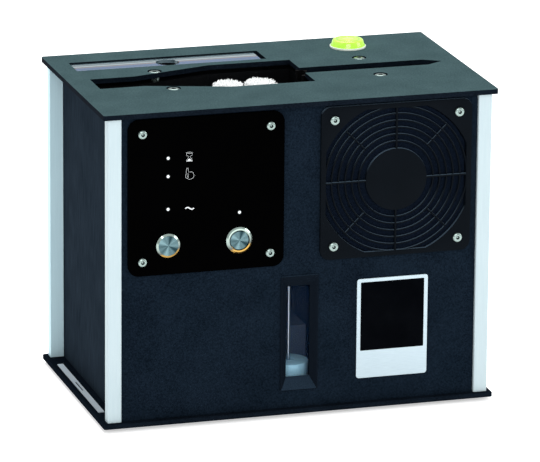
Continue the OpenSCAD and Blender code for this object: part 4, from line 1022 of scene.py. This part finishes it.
def screw_mesh(head, height, shank, reach, socket):
    """A pan-head screw, its seat at 0 and its head up, with a six-sided socket."""
    work = bmesh.new()
    shaft = [(0.0, -reach), (shank * 0.7, -reach), (shank, -reach + 0.8), (shank, 0.0), (head, 0.0)]
    dome = [(head, height * 0.35), (head * 0.95, height * 0.62), (head * 0.84, height * 0.84)]
    dome += [(head * 0.66, height * 0.96), (socket * 1.42, height)]
    hole = [(socket * 1.22, height - 0.06), (socket * 1.12, height * 0.45), (socket * 0.5, height * 0.36)]
    rings = [circle(work, radius, level, 36) for radius, level in shaft + dome]
    rings += [circle(work, radius, level, 36, six_sided=True) for radius, level in hole]
    loft(work, rings + [circle(work, 0.0, height * 0.32, 36)])
    mesh = baked(work, "screw")
    mesh.transform(Matrix.Scale(mm, 4))
    return mesh


def drive_in(screw, places, turn_xyz, seed, steel):
    """Screws at these places, as one mesh in metres."""
    marks = bpy.data.meshes.new("marks")
    marks.from_pydata([tuple(value * mm for value in place) for place in places], [], [])
    shape = bpy.data.objects.new("screw", screw)
    bpy.context.scene.collection.objects.link(shape)
    made = screws.run(marks, steel, Screw=shape, Turn=turn_xyz, Seed=seed)
    bpy.data.objects.remove(shape)
    return made


def screw_steel(name, middle, half, across, socket):
    """Polished steel; the walls of the four sockets, half off the middle on two axes, are painted dark:
    painted shade.
    """
    material, at = finish(name, Metallic=1.0)
    near = []
    for axis, centre, reach in zip(across, middle, half):
        off = at.maths("ABSOLUTE", apart(at)[axis] - centre * mm)
        near.append(at.maths("ABSOLUTE", off - reach * mm))
    radius = (near[0] * near[0] + near[1] * near[1]) ** 0.5
    # The ring round each socket's middle is painted dark: painted shade in the socket.
    wall = ramp(
        radius / (socket * 2 * mm),
        (0.16, (0.0, 0.0, 0.0, 1.0)),
        (0.34, (1.0, 1.0, 1.0, 1.0)),
        (0.50, (1.0, 1.0, 1.0, 1.0)),
        (0.66, (0.0, 0.0, 0.0, 1.0)),
    )
    polish = specks(at, 1500.0)
    feed(
        material,
        Base_Color=shade(wall, shade(polish, tone(104, 124, 122), tone(184, 202, 196)), tone(30, 38, 42)),
        Roughness=polish * 0.2 + 0.16,
        Normal=bumps(polish, 0.3, 0.00006),
    )
    return material


def four(middle, half):
    """The four places that lie half off the middle on two axes."""
    return [(middle[0] + x * half[0], middle[1] + y * half[1]) for x in (-1, 1) for y in (-1, 1)]


to_front, to_rear, to_top = (math.pi / 2, 0.0, 0.0), (-math.pi / 2, 0.0, 0.0), (0.0, 0.0, 0.0)
small_socket, large_socket = 1.3, 1.6
console_middle, console_half = (-78.9, 192.25), (52.95, 52.6)
console_steel = screw_steel("console_steel", console_middle, console_half, (0, 2), small_socket)
console_seats = [(x, -95.4, z) for x, z in four(console_middle, console_half)]
console_screw = screw_mesh(3.75, 2.2, 1.35, 6.5, small_socket)
console_screws = drive_in(console_screw, console_seats, to_front, 3, console_steel)
show("console_screws", console_screws, console_steel, ["panel_screws"])
grille_middle, grille_half = (fan_x, fan_z), (52.5, 52.5)
grille_steel = screw_steel("grille_steel", grille_middle, grille_half, (0, 2), small_socket)
grille_spots = four(grille_middle, grille_half)
fan_screw = screw_mesh(4.0, 2.2, 1.9, 24.0, small_socket)
front_heads = drive_in(fan_screw, [(x, -face_y, z) for x, z in grille_spots], to_front, 5, grille_steel)
rear_heads = drive_in(fan_screw, [(x, face_y, z) for x, z in grille_spots], to_rear, 6, grille_steel)
show("grille_heads", joined(front_heads, rear_heads), grille_steel, ["grille_screws"])
top_middle, top_half = (0.0, 0.0), (87.3, 28.4)
top_steel = screw_steel("top_steel", top_middle, top_half, (0, 1), large_socket)
top_spots = four(top_middle, top_half)
top_screw = screw_mesh(5.25, 2.0, 1.9, 9.0, large_socket)
top_heads = drive_in(top_screw, [(x, y, deck - 2.2) for x, y in top_spots], to_top, 8, top_steel)
collar_r, collar_low, collar_high = 4.3, 255.4, 258.8
collar_outline = [(2.3, collar_low), (collar_r - 0.2, collar_low), (collar_r, collar_low + 0.2)]
collar_outline += [(collar_r, collar_high - 0.2), (collar_r - 0.2, collar_high), (2.3, collar_high)]
collars = [lathe(collar_outline, 40, (x, y, 0.0), loop=True) for x, y in top_spots]
show("top_heads", joined(top_heads, *collars), top_steel, ["top_screws"])

# ---- Bubble level ----
# A clear vial that tapers upwards, on a white moulded rim.
# It is full of yellow-green liquid with a bubble.
level_x, level_y = 89.3, 65.5
rim_outline = [(0.0, 0.0), (14.8, 0.0), (15.0, 0.2), (15.0, 1.3), (14.7, 1.6), (14.36, 1.6)]
rim_outline += [(14.36, 1.0), (0.0, 1.0)]
rim_white = moulded("rim_white", tone(236, 244, 232), 0.35, 2000.0, 0.00003, 0.04)
level_rim = lathe(rim_outline, 72, (level_x, level_y, deck))
show("level_rim", level_rim, rim_white, ["level_base"])
vial_outline = [(0.0, 1.02), (14.2, 1.02), (14.1, 1.8), (12.9, 5.2), (12.5, 6.1), (11.9, 6.6), (11.0, 6.8)]
vial_outline += [(10.0, 6.75), (9.6, 6.55), (9.0, 6.55), (8.6, 6.8), (5.4, 6.92), (5.0, 6.75)]
vial_outline += [(4.6, 6.92), (0.0, 7.0)]
# The liquid glows faintly: painted light, since it is no lamp. The ring groove on top is painted darker:
# painted shade.
vial_green, at = finish("vial_green", Emission_Strength=0.34, Coat_Weight=0.4, Coat_Roughness=0.03)
from_middle = offsets(at, (0, 1), (level_x, level_y))[2]
on_top = apart(at)[2] > (deck + 6.0) * mm
bubble = (from_middle < 4.6 * mm) * on_top
groove_painted_shade = ((from_middle > 8.7 * mm) * (from_middle < 9.8 * mm)) * on_top
swirl = specks(at, 260.0)
liquid = shade(swirl, tone(166, 232, 40), tone(196, 250, 84))
liquid = shade(groove_painted_shade * 0.55, liquid, tone(84, 150, 24))
liquid = shade(bubble * 0.6, liquid, tone(206, 255, 120))
feed(vial_green, Base_Color=liquid, Emission_Color=liquid, Roughness=swirl * 0.08 + 0.05)
level_liquid = lathe(vial_outline, 72, (level_x, level_y, deck))
show("level_liquid", level_liquid, vial_green, ["level_vial"])

# ---- Floor ----
# A plain pale floor under the feet, far wider than the picture.
# It belongs to the studio, and is no piece of the machine.
far, under = 30.0, -0.2 * mm
floor_mesh = bpy.data.meshes.new("floor")
floor_corners = [(x * far, y * far, under) for x, y in ((-1, -1), (1, -1), (1, 1), (-1, 1))]
floor_mesh.from_pydata(floor_corners, [], [(0, 1, 2, 3)])
floor = bpy.data.objects.new("floor", floor_mesh)
bpy.context.scene.collection.objects.link(floor)
floor_white, at = finish(
    "floor_white",
    Roughness=0.9,
    Specular_IOR_Level=0.0,
    Emission_Strength=0.5,
    Emission_Color=(1.0, 1.0, 1.0, 1.0),
)
feed(floor_white, Base_Color=shade(specks(at, 3.0), tone(248, 248, 248), tone(255, 255, 255)))
floor_mesh.materials.append(floor_white)
